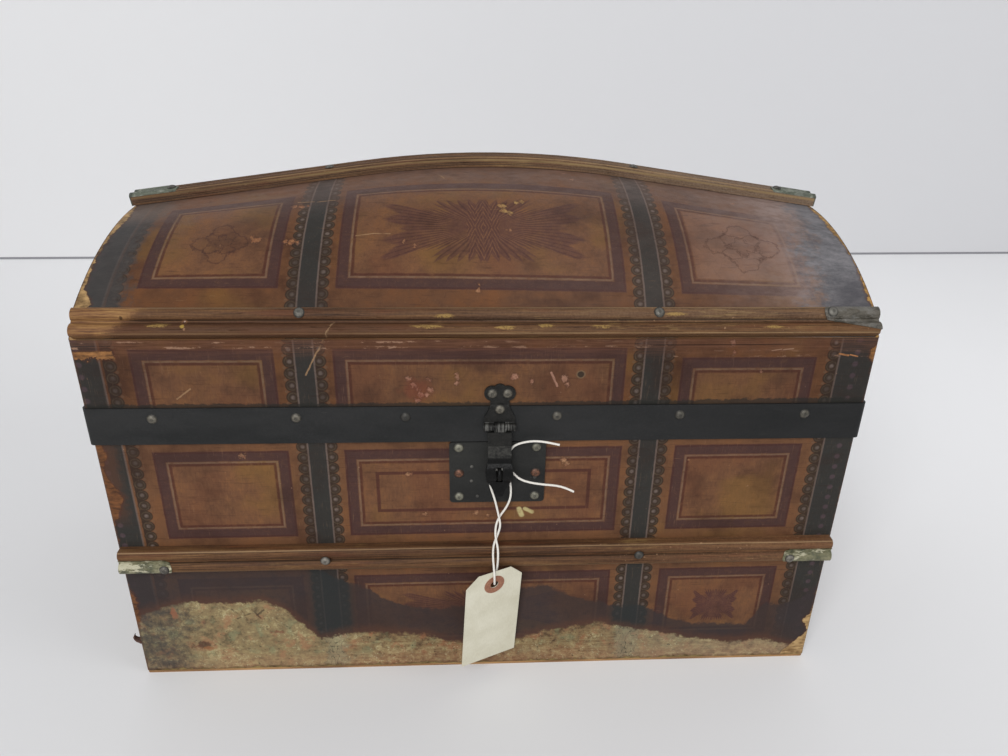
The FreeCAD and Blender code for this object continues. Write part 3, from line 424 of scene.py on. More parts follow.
    def scratched(self, width, shade, strength, *lines):
        """Thin scratches from one point to another: (along, up, along, up) each."""
        for line in lines:
            run, rise = line[2] - line[0], line[3] - line[1]
            along, up = self.along - line[0] + self.ragged * 1.5, self.up - line[1]
            part = (along * run + up * rise) * (1 / (run * run + rise * rise))
            part = part.most(0.0).least(1.0)
            gap = (along - part * run).span(up - part * rise)
            mark = gap.rises(width, width * 0.4) * strength * self.mottle.rises(0.3, 0.55)
            self.tint(mark * self.off_end, shade)

    def pasted(self, lost):
        """Joins the cover to its shader, sunk where the paper is lost."""
        rough = 0.42 + self.mottle * 0.2 + self.clouds.rises(0.5, 0.7) * 0.12
        return self.finished(rough, self.mottle * 0.4 + self.specks * 0.6 - lost * 2, 0.00012)


def body_cover_finish():
    cover = Cover("printed paper, body")
    x, y, z, tint, noise = cover.x, cover.y, cover.z, cover.tint, cover.noise
    on_end, off_end, ragged = cover.on_end, cover.off_end, cover.ragged
    wear, clouds, tints = cover.wear, cover.clouds, cover.tints
    tint(0.15, "806048")
    level = z - cover.along * 0.004
    upper, lower = [half - abs(level - middle) for middle, half in BODY_ROWS]
    cover.panels(cover.side_depth().least(upper.most(lower)))
    inner = (INNER_HALF - abs(cover.along)).least(INNER_TALL - abs(level - INNER_MIDDLE))
    tint(inner.near(0.9, 1.2, 0.7) * 0.85, "452822")
    cover.burst((abs(cover.along) - END_BURST) / 14, (z - BURST_MIDDLE) / 12.5, 1.3)
    cover.burst(cover.along / 48, (z - 44) / 15)
    cover.straps(z - 3.68 + STUD_PITCH / 2)
    lost = cover.chips(
        "9d7859", (43, 146.9, 1.6), (45, 144.5, 1.2), (-128, 151.9, 1.3), (-40, 139.4, 1.5),
        (-33, 113.6, 0.9), (-5, 113.1, 1.2), (2, 111.5, 0.7), (112, 146, 0.6))
    cover.scratched(1.9, "a89b6e", 0.95, (19.6, 115.6, 21.2, 111.4))
    cover.scratched(1.6, "a89b6e", 0.95, (23.0, 115.6, 27.0, 113.4))
    cover.rubbed()

    # damp has blackened the paper low down, and mould has grown over it from the ground
    damp_line = [(-203, 80), (-100, 80), (-79, 66), (-67, 62), (-60, 55), (-48, 48.5), (-31, 45),
                 (-9, 47.5), (22, 58.7), (37, 61.5), (45, 57.2), (59, 49.9), (82, 43.6),
                 (94, 45.4), (112, 35.9), (127, 30.4), (162, 27.6), (168, 38.6), (172, 44.7),
                 (182, 42), (195, 47), (203, 62)]
    mould_line = [(-203, 44), (-195, 46.7), (-182, 50.5), (-170, 53.6), (-147, 52), (-128, 54.1),
                  (-118, 48), (-108, 36.4), (-97, 24.4), (-79, 27.3), (-61, 27.7), (-37, 24.8),
                  (-10, 18.4), (23, 21.3), (44, 26.9), (71, 31.4), (96, 24.6), (129, 18),
                  (148, 14.4), (174, 15.3), (188, 11), (203, 6)]
    run = x * (1 - on_end * (115.4 - abs(y)) * 0.003)
    height = z + ragged * 7 + (clouds - 0.5) * 6 + on_end * (tints - 0.5) * 90
    over_damp, over_mould = [height - cover.curve(run, line, -203, 203)
                             for line in (damp_line, mould_line)]
    damp = over_damp.rises(1.2, -1.2)
    black = cover.mixed(cover.mottle * 0.6 + wear * 0.4, "2b2422", "423430")
    black = cover.mixed(tints.rises(0.4, 0.6) * 0.5, black, "2e2c2f")
    black = cover.mixed(abs(cover.along).near(STRAP_CENTRE, 14, 9), black, "292b2b")
    tint(over_damp.rises(16, 0) * tints.rises(0.62, 0.4) * 0.35, "2b1e1b")
    tint(damp * (0.84 + wear.rises(0.5, 0.3) * 0.12), black)
    tint(over_mould.rises(8, 0.5) * damp * 0.5, "55382a")
    mould = (over_mould + (wear - 0.5) * 5).rises(1.4, -1.0)

    # the mould is coloured on its own, then laid over the paper
    paper = cover.base
    broad = noise(19, 4, 0.6)
    growth = noise(4, 7, 0.75, (0.8, 0.8, 1.0))
    cover.base = cover.ramp(growth * 0.55 + broad * 0.45, (0.41, "4a3a2a"), (0.465, "6f5b42"),
                            (0.53, "826f4e"), (0.59, "9b8d68"))
    seams = noise(6, 4, 0.6).near(0.5, 0.02, 0.004)
    tint(seams * broad.rises(0.42, 0.55) * 0.5, "46362a")
    blush = noise(13, 6, 0.7)
    tint(blush.rises(0.53, 0.62) * 0.6, "8c5a41")
    tint(blush.rises(0.47, 0.37) * 0.5, "6e7659")
    board = noise(1.0, 5, 0.75, (0.05, 0.05, 1.0))
    flat = z.rises(34, 14) * (0.35 + x.rises(-130, -80) * 0.65)
    tint(board.rises(0.54, 0.64) * flat * 0.5, "a5936c")
    tint(board.rises(0.46, 0.38) * flat * 0.5, "573c2a")
    foot = cover.ramp(growth, (0.35, "694936"), (0.5, "8b674c"), (0.62, "99805c"))
    tint(z.rises(17, 6) * 0.6, foot)
    pits = noise(1.9, 3, 0.6).rises(0.6, 0.68) * noise(9).rises(0.42, 0.58)
    tint(pits * 0.8, "33261d")
    crumbs = noise(1.4, 4, 0.65).rises(0.58, 0.67) * broad.rises(0.42, 0.56)
    tint(crumbs * 0.6, "b5ae8a")
    tint(x.near(40, 120, 60) * 0.18, "54402c")
    tint(x.rises(-60, -100) * 0.15, "9d9672")
    soaked = noise(5, 6, 0.7).rises(0.66, 0.38)
    dark_side = (x + (wear - 0.5) * 50 + (clouds - 0.5) * 40).rises(-162, -192)
    tint(dark_side * (1 - on_end * 0.7) * (0.4 + soaked * 0.5),
         cover.mixed(growth, "242224", "4f4a45"))
    tint(x.rises(60, 110) * 0.2, "97907a")
    strap_left = (abs(abs(x) - STRAP_CENTRE) + ragged * 18).rises(9, 4)
    tint(strap_left * 0.4, "7f7c66")
    strands = noise(3.4, 2, 0.5, (1.0, 1.0, 0.5)).near(0.5, 0.035, 0.01)
    tint(strap_left * strands * wear.rises(0.4, 0.55) * 0.8, "37332b")
    cover.base = cover.mixed(mould, paper, cover.base)

    # threads and dark knots in the mould
    cover.scratched(0.8, "43352a", 0.75, (-147, 48, -141, 41.5), (-144.5, 41, -137, 44.5),
                    (-135.5, 47.5, -131, 41), (-141, 46.8, -139, 39.6), (-128.6, 47, -133, 43.2))
    for along, up, wide, tall, shade in (
            (-166, 21.5, 7.5, 3.0, "3f2a24"), (-163, 18.6, 4.0, 1.8, "855a3c"),
            (-180.5, 45.5, 1.9, 5.0, "855640"), (-122, 30, 5.0, 1.6, "6b4636")):
        away = ((cover.along - along) / wide).span((z - up) / tall) + ragged * 3.0
        tint(away.rises(1.1, 0.5) * off_end * 0.75, shade)

    # the print is torn off along the corners and the foot
    veil = (x + ragged * 10).rises(-190, -196) * z.rises(104, 120)
    tint(veil * off_end * 0.6, "4d3326")
    left = [(0, 2), (8, 0.5), (20, 0), (34, 0.5), (46, 3.6), (58, 3.2), (66, 0), (108, 0),
            (116, 5), (124, 8.5), (131, 8), (137, 3), (146, 1.5), (153, 5), (160, 4)]
    right = [(0, 18), (6, 13), (12, 8), (18, 3), (22, 0.5), (27, 3.4), (31, 4.4), (35, 1),
             (38, 0), (160, 0)]
    for inside, shades in (
            (cover.from_edge(-1, left, 165) + on_end * UNTORN, ("70492d", "35231a")),
            (cover.from_edge(1, right, 165) + on_end * UNTORN, ("b5976a", "6d5234")),
            (115.5 - abs(y) + off_end * UNTORN, ()), (z - 2.2, ("86744a",))):
        lost = lost.most(cover.torn(inside, *shades))
    return cover.pasted(lost)


dressed(body_cover_finish(), "body_cover")


# The rim's cover: the same paper, one low row of panels round the lid's rim. Its top edge is
# worn pale under the slat, and its foot is blackened by the band's japan.
PRINT_SHIFT = 2.0             # this sheet was laid a little to the left
RIM_TOP, RIM_STEP = 213.4, 5.6
NAIL_HOLE = (49.4, 198.6)     # across and up, where a nail's head has pressed and gone


def rim_cover_finish():
    cover = Cover("printed paper, rim")
    cover.along = cover.along + PRINT_SHIFT
    x, y, z, tint, noise, along = cover.x, cover.y, cover.z, cover.tint, cover.noise, cover.along
    ragged = cover.ragged
    top = RIM_TOP - (along > 95) * RIM_STEP
    cover.panels(cover.side_depth().least(top - z))
    cover.straps(z - 6.2 + STUD_PITCH / 2)
    lost = cover.chips(
        "a57b66", (-35, 193.0, 1.4), (-37, 196.9, 1.0), (-27, 196.8, 1.1), (-12, 197.8, 1.3),
        (-31, 187.5, 1.5), (-33, 184.5, 1.0), (17, 197.6, 1.6), (26, 194.8, 1.0),
        (43, 196.5, 1.7), (45, 193.0, 1.1), (129, 215.9, 1.3), (130, 210.4, 1.0),
        (146, 199.7, 0.7), (-33, 190.5, 0.8), (-26, 190.5, 1.2), (-27.5, 187.2, 1.2),
        (-12, 194.6, 0.9))
    rosy = ((along + 33) / 9).span((z - 190) / 8) + ragged * 1.5
    tint(rosy.rises(1.1, 0.4) * 0.35 * cover.off_end, "6f3026")
    cover.rubbed()
    tint(0.18, "190f0b")
    hole = (x - NAIL_HOLE[0]).span(z - NAIL_HOLE[1]) + ragged * 0.8
    at_front = y < 0
    tint(hole.rises(2.6, 1.9) * cover.mottle.rises(0.3, 0.5) * at_front * 0.6, "6a5c48")
    tint(hole.rises(2.0, 1.4) * at_front * 0.85, "241d19")
    # darker towards the top, close under the lid slat
    over_top = z.rises(206, 216)
    tint(over_top * 0.35, "442a21")
    rubs = noise(1.0, 5, 0.7, (0.03, 1, 1)).rises(0.42, 0.6)
    tint(over_top * rubs * 0.35, "6e4c3a")
    lines = noise(1.8, 5, 0.75, (0.16, 1, 0.6)).rises(0.53, 0.6)
    for above, width, share in ((0.7, 0.9, 0.6), (3.6, 0.7, 0.25)):
        level = (z - top + ragged * 1.6).near(above, width, width * 0.3)
        tint(level * lines * x.rises(60, -40).most(share) * 0.75, "8f705c")
    seam = (z - x * 0.004).near(214.4, 0.5, 0.15)
    tint(seam * x.rises(80, 92) * x.rises(170, 150) * 0.7, "22140f")
    painted = z + ragged * 5 - x.rises(40, 190) * 1.2
    tint(painted.rises(183.4, 182.4) * (y < 112) * 0.75, "232320")
    cover.scratched(0.55, "8c6f52", 0.7, (-77.5, 221, -80, 215), (-80, 215, -83.3, 209.8),
                    (-83.3, 209.8, -88.6, 199), (-154.4, 186, -147, 191.6))
    cover.scratched(0.4, "8c6f5c", 0.6, (150, 211.5, 155, 212.3))
    cover.scratched(0.5, "8c6f5c", 0.6, (156, 212.0, 161, 212.6))
    cover.scratched(0.7, "96663f", 0.8, (186, 209.6, 191, 208.6))
    cover.scratched(0.5, "a06c45", 0.8, (192, 209.0, 196, 208.0))
    cover.scratched(0.8, "a27a68", 0.7, (36.0, 199.6, 39.5, 192.0))
    tear = abs(z - 210.4 - ragged * 4).most(x + 186) - 1.2
    tear = cover.torn(tear + cover.on_end * UNTORN, "94683f")
    notch = (z - 209).rises(-6, 0) * (z - 209).rises(6, 2) * (x > 0) * 3.4
    bare = cover.torn(204.0 - abs(x) - notch + cover.on_end * UNTORN, "8a6037")
    return cover.pasted(bare.most(lost).most(tear))


dressed(rim_cover_finish(), "rim_cover")


# The dome's cover: the same paper bent over the dome, with a large sunburst between two
# four-lobed ornaments. Dust has dulled it, blue at the right end, and its end edges are torn.
RIDGE_RADIUS, RIDGE_SLOPE = 560, math.radians(8)
RIDGE_TOP, RIDGE_MIDDLE = 283.6, 8
SHOULDER_OUT, SHOULDER_UP = 105.2, 229.6
DOME_PITCH, DOME_SHIFT = 6.45, 1.2      # its studs, measured over the dome


def ridge_height(x):
    """How high the dome's ridge is: an arc in the middle, and straight on to both ends."""
    off = abs(x - RIDGE_MIDDLE)
    on_arc = off.least(RIDGE_RADIUS * math.sin(RIDGE_SLOPE))
    arc = (RIDGE_RADIUS ** 2 - on_arc * on_arc).root()
    return arc - (off - on_arc) * math.tan(RIDGE_SLOPE) + (RIDGE_TOP - RIDGE_RADIUS)


def dome_cover_finish():
    """The print follows the dome: up is the way over it from the front slat, and over the way
    back down from its ridge."""
    cover = Cover("printed paper, dome")
    x, y, tint, ragged, clouds = cover.x, cover.y, cover.tint, cover.ragged, cover.clouds
    rise = ridge_height(x) - SHOULDER_UP
    radius = (rise * rise + SHOULDER_OUT ** 2) / (rise * 2)
    over = radius * (abs(y) / radius).arcsine()
    up = cover.up = radius * (SHOULDER_OUT / radius).arcsine() - over
    cover.along = x + DOME_SHIFT
    top = over - (33.5 + x * 0.035)
    bottom = up - (11.2 - x * 0.016)
    inside = cover.side_depth().least(top.least(bottom))
    cover.panels(inside)
    tint(inside.rises(9, 10) * x.rises(95, 125) * 0.35, "8c6c5c")
    cover.burst(x / 54, (up - 49.5) / 23)
    cover.straps((up - 22.6) * (STUD_PITCH / DOME_PITCH) + x * 0.008 + STUD_PITCH / 2)
    lost = cover.chips(
        "a87650", (-102.6, 74.4, 1.3), (-98.5, 74.0, 1.3), (-95.0, 74.0, 0.8), (-119, 45.7, 2.1),
        (-121.5, 47.5, 1.2), (-103, 43.2, 1.5), (-99.5, 42.9, 1.6), (-96.5, 42.2, 0.9))
    lost = lost.most(cover.chips(
        "9f7453", (-2.2, 10.7, 1.1), (-1.8, 14, 0.6), (-40, 40.4, 0.9), (-34.7, 37.7, 1.0),
        (50.4, 108.2, 1.0), (53.3, 98.5, 1.2), (148.8, 87.8, 1.4), (-137.8, 42.8, 0.7),
        (15, 47.8, 0.9)))
    lost = lost.most(cover.chips("aa8a54", (12, 66.5, 1.8), (12.5, 62.5, 1.6), (15.5, 60.5, 1.5),
                                 (19.5, 69.6, 1.2), (22.5, 70.2, 1.0)))
    cover.rubbed()

    # dust has dulled the dome, most of all at the right end and under the ridge slat
    veins = cover.noise(5, 5, 0.75, (0.5, 1.0, 1.0))
    dust = (x.rises(100, 170) * 0.35 + x.rises(150, 172) * 0.35
            + x.rises(-40, 60) * 0.08 + over.rises(60, 15) * 0.3)
    tint(dust * (0.6 + veins.rises(0.35, 0.65) * 0.4), "8d7a73")
    larger = x > 0
    cover.quatrefoil((abs(x) - 139 - larger * 2) / (larger * 6 + 16),
                     (up - 45 + larger * 3) / (larger * 3 + 16), 0.85 - larger * 0.2)
    grey = x + ragged * 50 + (clouds - 0.5) * 50 + (over - 60) * 0.12
    blue = cover.ramp(veins * 0.7 + clouds * 0.3, (0.36, "4f5056"), (0.48, "636468"),
                      (0.62, "79797d"))
    blue = cover.mixed(up.rises(34, 10) * x.rises(176, 190) * 0.6, blue, "393c42")
    tint(grey.rises(166, 190) * 0.85, blue)
    dark = (x - ragged * 30 - (clouds - 0.5) * 20).rises(-176, -186)
    tint(dark * up.rises(88, 70) * 0.75, cover.mixed(veins, "2c2c2d", "4c4846"))
    worn = (x - ragged * 40).rises(-168, -186) * up.rises(66, 84)
    tint(worn * 0.7, cover.mixed(veins, "544840", "6d5f58"))
    tint(0.08, "190f0b")
    cover.scratched(0.5, "8c6f52", 0.65, (-66, 45.5, -57, 46.6), (-57, 46.6, -48, 46.0),
                    (-101, 79, -92, 78.2), (-90, 77.6, -80, 78.0), (-24, 104, -20, 97))
    left = [(0, 3.0), (4, 8), (9, 5), (14, 1.5), (40, 0.5), (60, 1.0), (70, 2.6), (80, 3.0),
            (90, 1.5), (106, 0)]
    right = [(0, 0.5), (30, 0.3), (62, 1.5), (70, 2.6), (80, 2.0), (92, 2.5), (106, 0.5)]
    for side, line, shade in ((-1, left, "a98a5e"), (1, right, "b08a50")):
        lost = lost.most(cover.torn(cover.from_edge(side, line, 120), shade))
    return cover.pasted(lost)


dressed(dome_cover_finish(), "dome_cover")


# A curl of the body's paper: it has come away at the left front corner, low down, and stands a
# few millimetres off the corner, dark brown and rough.
CURL_MIDDLE = -113.6          # how far back its middle is
CURL_ROUTE = [(-202.4, 24.4), (-203.8, 25.0), (-205.2, 25.4), (-206.3, 26.4), (-206.8, 27.9),
              (-206.2, 29.0)]


def modelled(name, points, faces, material):
    """A new smooth mesh in the scene from points in millimetres."""
    mesh = bpy.data.meshes.new(name)
    mesh.from_pydata([[length / 1000 for length in point] for point in points], [], faces)
    mesh.shade_smooth()
    mesh.materials.append(material)
    return placed(name, mesh)


def curl_finish():
    finish = Finish("torn paper", Roughness=0.8)
    fibre = finish.noise(1.2, 5, 0.7)
    finish.base = finish.ramp(fibre, (0.35, "2e1c18"), (0.65, "5a3a2e"))
    return finish.finished(height=fibre, depth=0.0002)


def paper_curl():
    points, faces = [], []
    for step, (x, z) in enumerate(CURL_ROUTE):
        half = 2.6 - step * 0.32
        for back in (-half, 0.0, half * 0.8):
            points.append((x, CURL_MIDDLE + back, z + back * 0.12))
    for step in range(len(CURL_ROUTE) - 1):
        for side in range(2):
            low = step * 3 + side
            faces.append((low, low + 3, low + 4, low + 1))
    made = modelled("torn_curl", points, faces, curl_finish())
    thick = made.modifiers.new("paper", "SOLIDIFY")
    thick.thickness, thick.offset = 0.0005, 0.0
    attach(made, "base")


paper_curl()


# The slats: hardwood strips milled with two reeds and nailed on over the paper, stained brown and
# varnished. Handling has worn them back to gold along the edges and at the lid's left corner. The
# pale line along each edge is partly that wear and partly a painted highlight; the dark lines at
# the groove and under the top edge are painted shade, and the lower reed is lightened as painted
# light.
SLAT_HALF = 6.65              # from its middle to the lip along each edge
BODY_SLAT_UP = 87.0
LID_SLAT_OUT, LID_SLAT_UP, LID_SEAT = 109.9, 224.1, math.radians(50.1)


def slat_finish(name, laid, dusty, dust=("6a5746", "918272"), painted_foot_shadow=0, worn_end=False):
    """laid gives the distance from the slat's middle in millimetres. dusty says how far the
    varnish has gone to the two shades of dust, from x and that distance. painted_foot_shadow is
    how dark the painted shadow along the lower edge is, where the slat meets the paper; it also
    lays a painted highlight line higher up the front. worn_end bares the left end."""
    finish = Finish(name, Roughness=0.5, Specular_IOR_Level=0.15)
    noise, tint = finish.noise, finish.tint
    off = laid(finish)
    x = finish.x
    grain = noise(0.7, 6, 0.7, (0.02, 1, 1))
    broad = noise(11, 5, 0.6, (0.08, 1, 1))
    fine = noise(1.2, 4, 0.7)
    finish.base = finish.ramp(grain * 0.5 + broad * 0.35 + fine * 0.15, (0.36, "2b1c12"),
                              (0.46, "493121"), (0.55, "5f432b"), (0.66, "7a5c3a"))
    cracks = noise(0.55, 4, 0.6, (0.025, 1, 1)).rises(0.6, 0.68)
    tint(cracks * 0.5, "22150d")
    streak = noise(1.3, 5, 0.75, (0.09, 1, 1))
    patch = noise(13, 2, 0.5, (0.35, 1, 1))
    worn = (streak * 0.55 + patch * 0.45).rises(0.56, 0.66)
    tint(worn * 0.5, finish.mixed(fine, "785c38", "92784a"))
    tint(noise(1.4, 4, 0.7, (0.2, 1, 1)).rises(0.66, 0.76) * 0.5, "94785a")
    tint(noise(5, 3, 0.5, (0.15, 1, 1)).rises(0.52, 0.7) * 0.4, "5b3320")
    # painted light: the lower reed is lightened so that it reads as evenly lit down to its lower
    # edge
    tint((off + (streak - 0.5)).rises(-3.8, -6.0) * 0.2, "75593c")
    # painted shade: thin dark lines along both sides of the groove between the reeds, and just
    # under the top edge
    for middle, width, strength in ((0.7, 0.45, 0.75), (-0.9, 0.45, 0.75), (6.1, 0.3, 0.4)):
        tint(off.near(middle, width, 0.1) * strength, "1f140c")
    tint(dusty(x, off) * (0.5 + fine.rises(0.35, 0.65) * 0.5), finish.mixed(streak, *dust))
    tint(noise(1.5, 2).rises(0.68, 0.76) * x.rises(20, 120) * 0.6, "9a7a5c")
    # a pale line along each edge: partly the wear of handling, partly a painted highlight
    lip = abs(off).near(SLAT_HALF, 0.3, 0.1)
    tint(lip * (0.3 + broad.rises(0.35, 0.6) * 0.5), "8a7152")
    # painted shadow along the lower edge where the slat meets the paper, and a painted highlight
    # line higher up the front
    if painted_foot_shadow:
        tint(off.rises(-4.6, -6.4) * painted_foot_shadow, "24190f")
        tint(off.near(3.2, 1.4, 0.4) * (0.2 + broad.rises(0.4, 0.6) * 0.4), "8d7752")
    if worn_end:
        tint(off.rises(1, -1) * x.rises(40, -80) * 0.5, "43291a")
        bare = (x - off * 1.2 + (grain - 0.5) * 26 + (fine - 0.5) * 14).rises(-171, -179)
        wood = finish.ramp(grain * 0.5 + streak * 0.5, (0.4, "503525"), (0.48, "755234"),
                           (0.57, "8f6c42"), (0.66, "ab8c58"))
        tint(bare * 0.9, wood)
        for along, up, size, shade in (
                (-177.6, 1.6, 1.0, "2e1c10"), (-147.4, -0.4, 2.0, "6b4a30"),
                (-147.4, -0.6, 1.1, "35201a"), (-147.2, 0.2, 0.6, "a98d7c"),
                (-147.6, -3.0, 1.3, "a1853f"), (-146.4, -4.6, 0.8, "8d6b50")):
            away = (x - along + (fine - 0.5) * 2).span(off - up)
            tint(away.rises(size, size * 0.5) * 0.8, shade)
        for along, up, run in (
                (-160, -2.4, 6), (58, -3.4, 6), (146, -4.0, 5), (-28, -3.2, 8), (-20, 2.4, 5),
                (96, 3.0, 6), (30, -3.0, 4), (10, -3.6, 5)):
            away = ((x - along) / run).span(off - up + (fine - 0.5) * 3) + (streak - 0.5) * 3
            tint(away.rises(1.1, 0.5) * fine.rises(0.3, 0.55) * 0.65, "9c8048")
        scratch = (x - off * 0.6 + (fine - 0.5) * 3).near(-74.5, 0.5, 0.1)
        tint(scratch * off.rises(0, -1) * 0.5, "94795a")
    return finish.finished(0.45 + grain * 0.25, grain + streak * 0.5 + fine * 0.3 - cracks * 0.6,
                           0.00025)


def on_lid_seat(finish):
    """The lid's front and rear slats lean back with the dome's shoulder."""
    return ((finish.z - LID_SLAT_UP) * math.sin(LID_SEAT)
            + (LID_SLAT_OUT - abs(finish.y)) * math.cos(LID_SEAT))


dressed(slat_finish("reeded slat, body", lambda finish: finish.z - BODY_SLAT_UP,
                    lambda x, off: x.rises(60, 180) * 0.35, ("75503a", "96704f")),
        "front_lower_slat", "rear_lower_slat")
dressed(slat_finish("reeded slat, lid front", on_lid_seat,
                    lambda x, off: x.rises(-90, 120) * 0.2 * off.rises(-1, 1), worn_end=True),
        "lid_front_slat", "lid_rear_slat")


# The ridge slat: the same strip bent along the dome's ridge and nailed down at both ends. Dust
# has greyed its right half. Its front has a painted shadow where it meets the paper, and a painted
# highlight line higher up.
def on_ridge(finish):
    """Lays the grain along the bend; on the front face, height stands in for the distance from
    the slat's middle."""
    height = finish.z - ridge_height(finish.x)
    facing = finish.parts(finish.node("ShaderNodeTexCoord", output="Normal"))[1]
    on_front = abs(facing).rises(0.8, 0.95)
    finish.here = finish.node("ShaderNodeCombineXYZ", values={
        0: finish.x, 1: finish.y, 2: height})
    return on_front * (height * 1.6 - 3.4 + finish.y) - finish.y


dressed(slat_finish("reeded slat, ridge", on_ridge,
                    lambda x, off: 0.1 + x.rises(-20, 180) * 0.6, painted_foot_shadow=0.8), "lid_top_slat")


# The slats' end caps: stamped sheet iron folded over the slat's end, with a round tongue under a
# nail. The tin has gone olive grey on the lid, and pale and green with rust on the body.
CAP_FOLD, CAP_END = 203.2, 204.7


def cap_finish(name, dark, middle, pale, bloom, spread):
    finish = Finish(name, Roughness=0.5, Specular_IOR_Level=0.4)
    patina = finish.noise(6, 5, 0.65)
    creases = finish.noise(2.6, 3, 0.6, (0.5, 1, 1))
    finish.base = finish.ramp(patina * 0.6 + creases * 0.4,
                              (0.36, dark), (0.5, middle), (0.64, pale))
    finish.tint(finish.noise(4, 4, 0.7, (0.4, 1, 1)).rises(0.53, 0.6) * spread, bloom)
    finish.tint(finish.noise(1.4, 4, 0.7).rises(0.6, 0.68) * 0.6, "3a2a1c")
    out = abs(finish.x)
    # painted highlight along the fold over the slat's end; beyond it, on the end, the tin is
    # darker
    finish.tint(out.near(CAP_FOLD, 0.8, 0.2) * creases.rises(0.35, 0.55) * 0.7, "8b8b7e")
    finish.tint(out.rises(CAP_END - 0.5, CAP_END + 0.5) * 0.6, "20261c")
    return finish.finished(0.4 + patina * 0.3, creases * 2 + patina, 0.0009)


dressed(cap_finish("cap tin, lid", "36332c", "4f4a41", "64605a", "6f6e6a", 0.35),
        "lid_front_right_cap", "lid_rear_left_cap", "lid_rear_right_cap")
dressed(cap_finish("cap tin, ridge", "40443a", "565b4e", "777a6f", "85877e", 0.35),
        "lid_top_left_cap", "lid_top_right_cap")
dressed(cap_finish("cap tin, body", "35392b", "636148", "7f7a5f", "b6b198", 0.8),
        "front_lower_left_cap", "front_lower_right_cap", "rear_lower_left_cap",
        "rear_lower_right_cap")


# The band round the lid's rim: thin sheet iron, black japanned, that laps over the body's edge
# and is nailed through. The japan is dull, with a bluish bloom and bare scratches.
def japan_finish(name, dark, pale):
    finish = Finish(name, Roughness=0.45, Specular_IOR_Level=0.22)
    bloom = finish.noise(16, 5, 0.6, (0.3, 1, 1))
    fine = finish.noise(1.2, 4, 0.7)
    finish.base = finish.ramp(bloom * 0.7 + fine * 0.3, (0.38, dark), (0.62, pale))
    finish.tint(finish.noise(0.9, 3, 0.7, (0.05, 1, 0.8)).rises(0.66, 0.76) * 0.3, "4d4a46")
    finish.tint(fine.rises(0.64, 0.74) * 0.35, "3a2c20")
    finish.tint(finish.x.rises(20, 170) * 0.35, "0f0f10")
    dents = finish.noise(9, 2)
    return finish.finished(0.4 + bloom * 0.25, fine * 0.4 + bloom + dents * 3, 0.00015)


dressed(japan_finish("black japan, band", "181919", "242424"), "lid_band")


# The lock: a black sheet plate under the band with a wire staple, and the hasp that drops over
# it, a stepped leaf on three knuckles and a plate with a two-lobed head nailed above.
dressed(japan_finish("black japan, lock", "1a1a19", "272725"), "lock_plate")

KNUCKLES_UP, RAMP_UP, LEAF_MIDDLE, HEAD_UP = 170, 156.6, 10, 153.0


def hasp_finish():
    """Ribbed and worn at the knuckles, rough on the ramp, and glossy black at the leaf's head; the
    black goes on down over the tip as painted shade.
    """
    finish = Finish("black japan, hasp", Roughness=0.4, Specular_IOR_Level=0.14)
    fine = finish.noise(0.9, 4, 0.7)
    cast = finish.noise(2.0, 4, 0.65, (0.6, 1, 1))
    finish.base = finish.ramp(fine * 0.5 + cast * 0.5, (0.38, "161615"), (0.62, "252422"))
    ribs = finish.noise(0.8, 3, 0.7, (1, 0.05, 0.05))
    knuckle = finish.z.near(KNUCKLES_UP, 2.4, 1.8) * (finish.y < -118)
    finish.tint(knuckle * ribs.rises(0.5, 0.6) * 0.75, "64635f")
    ramp = finish.z.near(RAMP_UP, 3.4, 2.6) * finish.x.near(LEAF_MIDDLE, 8.4, 8.0)
    finish.tint(ramp * (cast.rises(0.4, 0.65) * 0.5 + fine.rises(0.5, 0.65) * 0.3), "403f3b")
    # glossy black at the head, carried on down over the tip as painted shade
    head = finish.z.rises(HEAD_UP + 0.6, HEAD_UP - 0.6)
    finish.tint(head * 0.85, finish.mixed(cast.rises(0.6, 0.7), "060606", "141314"))
    return finish.finished(0.42 - head * 0.14, fine + cast + ribs * knuckle * 3, 0.0002)


dressed(hasp_finish(), "hasp_leaf", "hasp_plate", "lock_staple")


# The lock plate's small rivets: four low iron heads beside the staple that hold what is behind
# the plate, grey where the black has rubbed off.
RIVET_SIZE, RIVET_SIDES = 0.95, 12
RIVET_PLACES = [(-7.0, -116.6, 135.1), (-6.8, -116.6, 144.2), (-3.7, -116.6, 125.2),
                (27.6, -116.6, 137.0)]
RIVET_RINGS = ((0.45, 0.3), (0.8, 0.18), (1.0, 0.0), (1.0, -0.2))      # out and off the plate


def rivets():
    points, faces = [], []
    for x, y, z in RIVET_PLACES:
        start = len(points)
        points.append((x, y - RIVET_SIZE * 0.35, z))
        for out, high in RIVET_RINGS:
            for step in range(RIVET_SIDES):
                turn = math.tau * step / RIVET_SIDES
                points.append((x + out * RIVET_SIZE * math.cos(turn), y - high * RIVET_SIZE,
                               z + out * RIVET_SIZE * math.sin(turn)))
        for step in range(RIVET_SIDES):
            after = (step + 1) % RIVET_SIDES
            faces.append((start, start + 1 + step, start + 1 + after))
            for ring in range(len(RIVET_RINGS) - 1):
                low = start + 1 + ring * RIVET_SIDES
                high = low + RIVET_SIDES
                faces.append((low + step, high + step, high + after, low + after))
    return modelled("lock_rivets", points, faces,
                    japan_finish("black japan, rivets", "3a3936", "5c5a55"))


plate_rivets = rivets()
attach(plate_rivets, "base")


# The pins: plain steel wire through the knuckles of the hasp and of the two hinges, browned, and
# bright where the knuckles turn on it.
def steel_finish():
    finish = Finish("worn steel", Roughness=0.35, Metallic=0.9)
    mark = finish.noise(1.5, 4)
    finish.base = finish.ramp(mark, (0.35, "3a342e"), (0.65, "8a857c"))
    return finish.finished(0.3 + mark * 0.3)


dressed(steel_finish(), "hasp_pin", "hinge_pins")


# The nails: short iron tacks with low domed heads, all browned by rust and some gone dark. The
# two in the middle of the lock plate are coppery.
COPPER_UP = 140.0


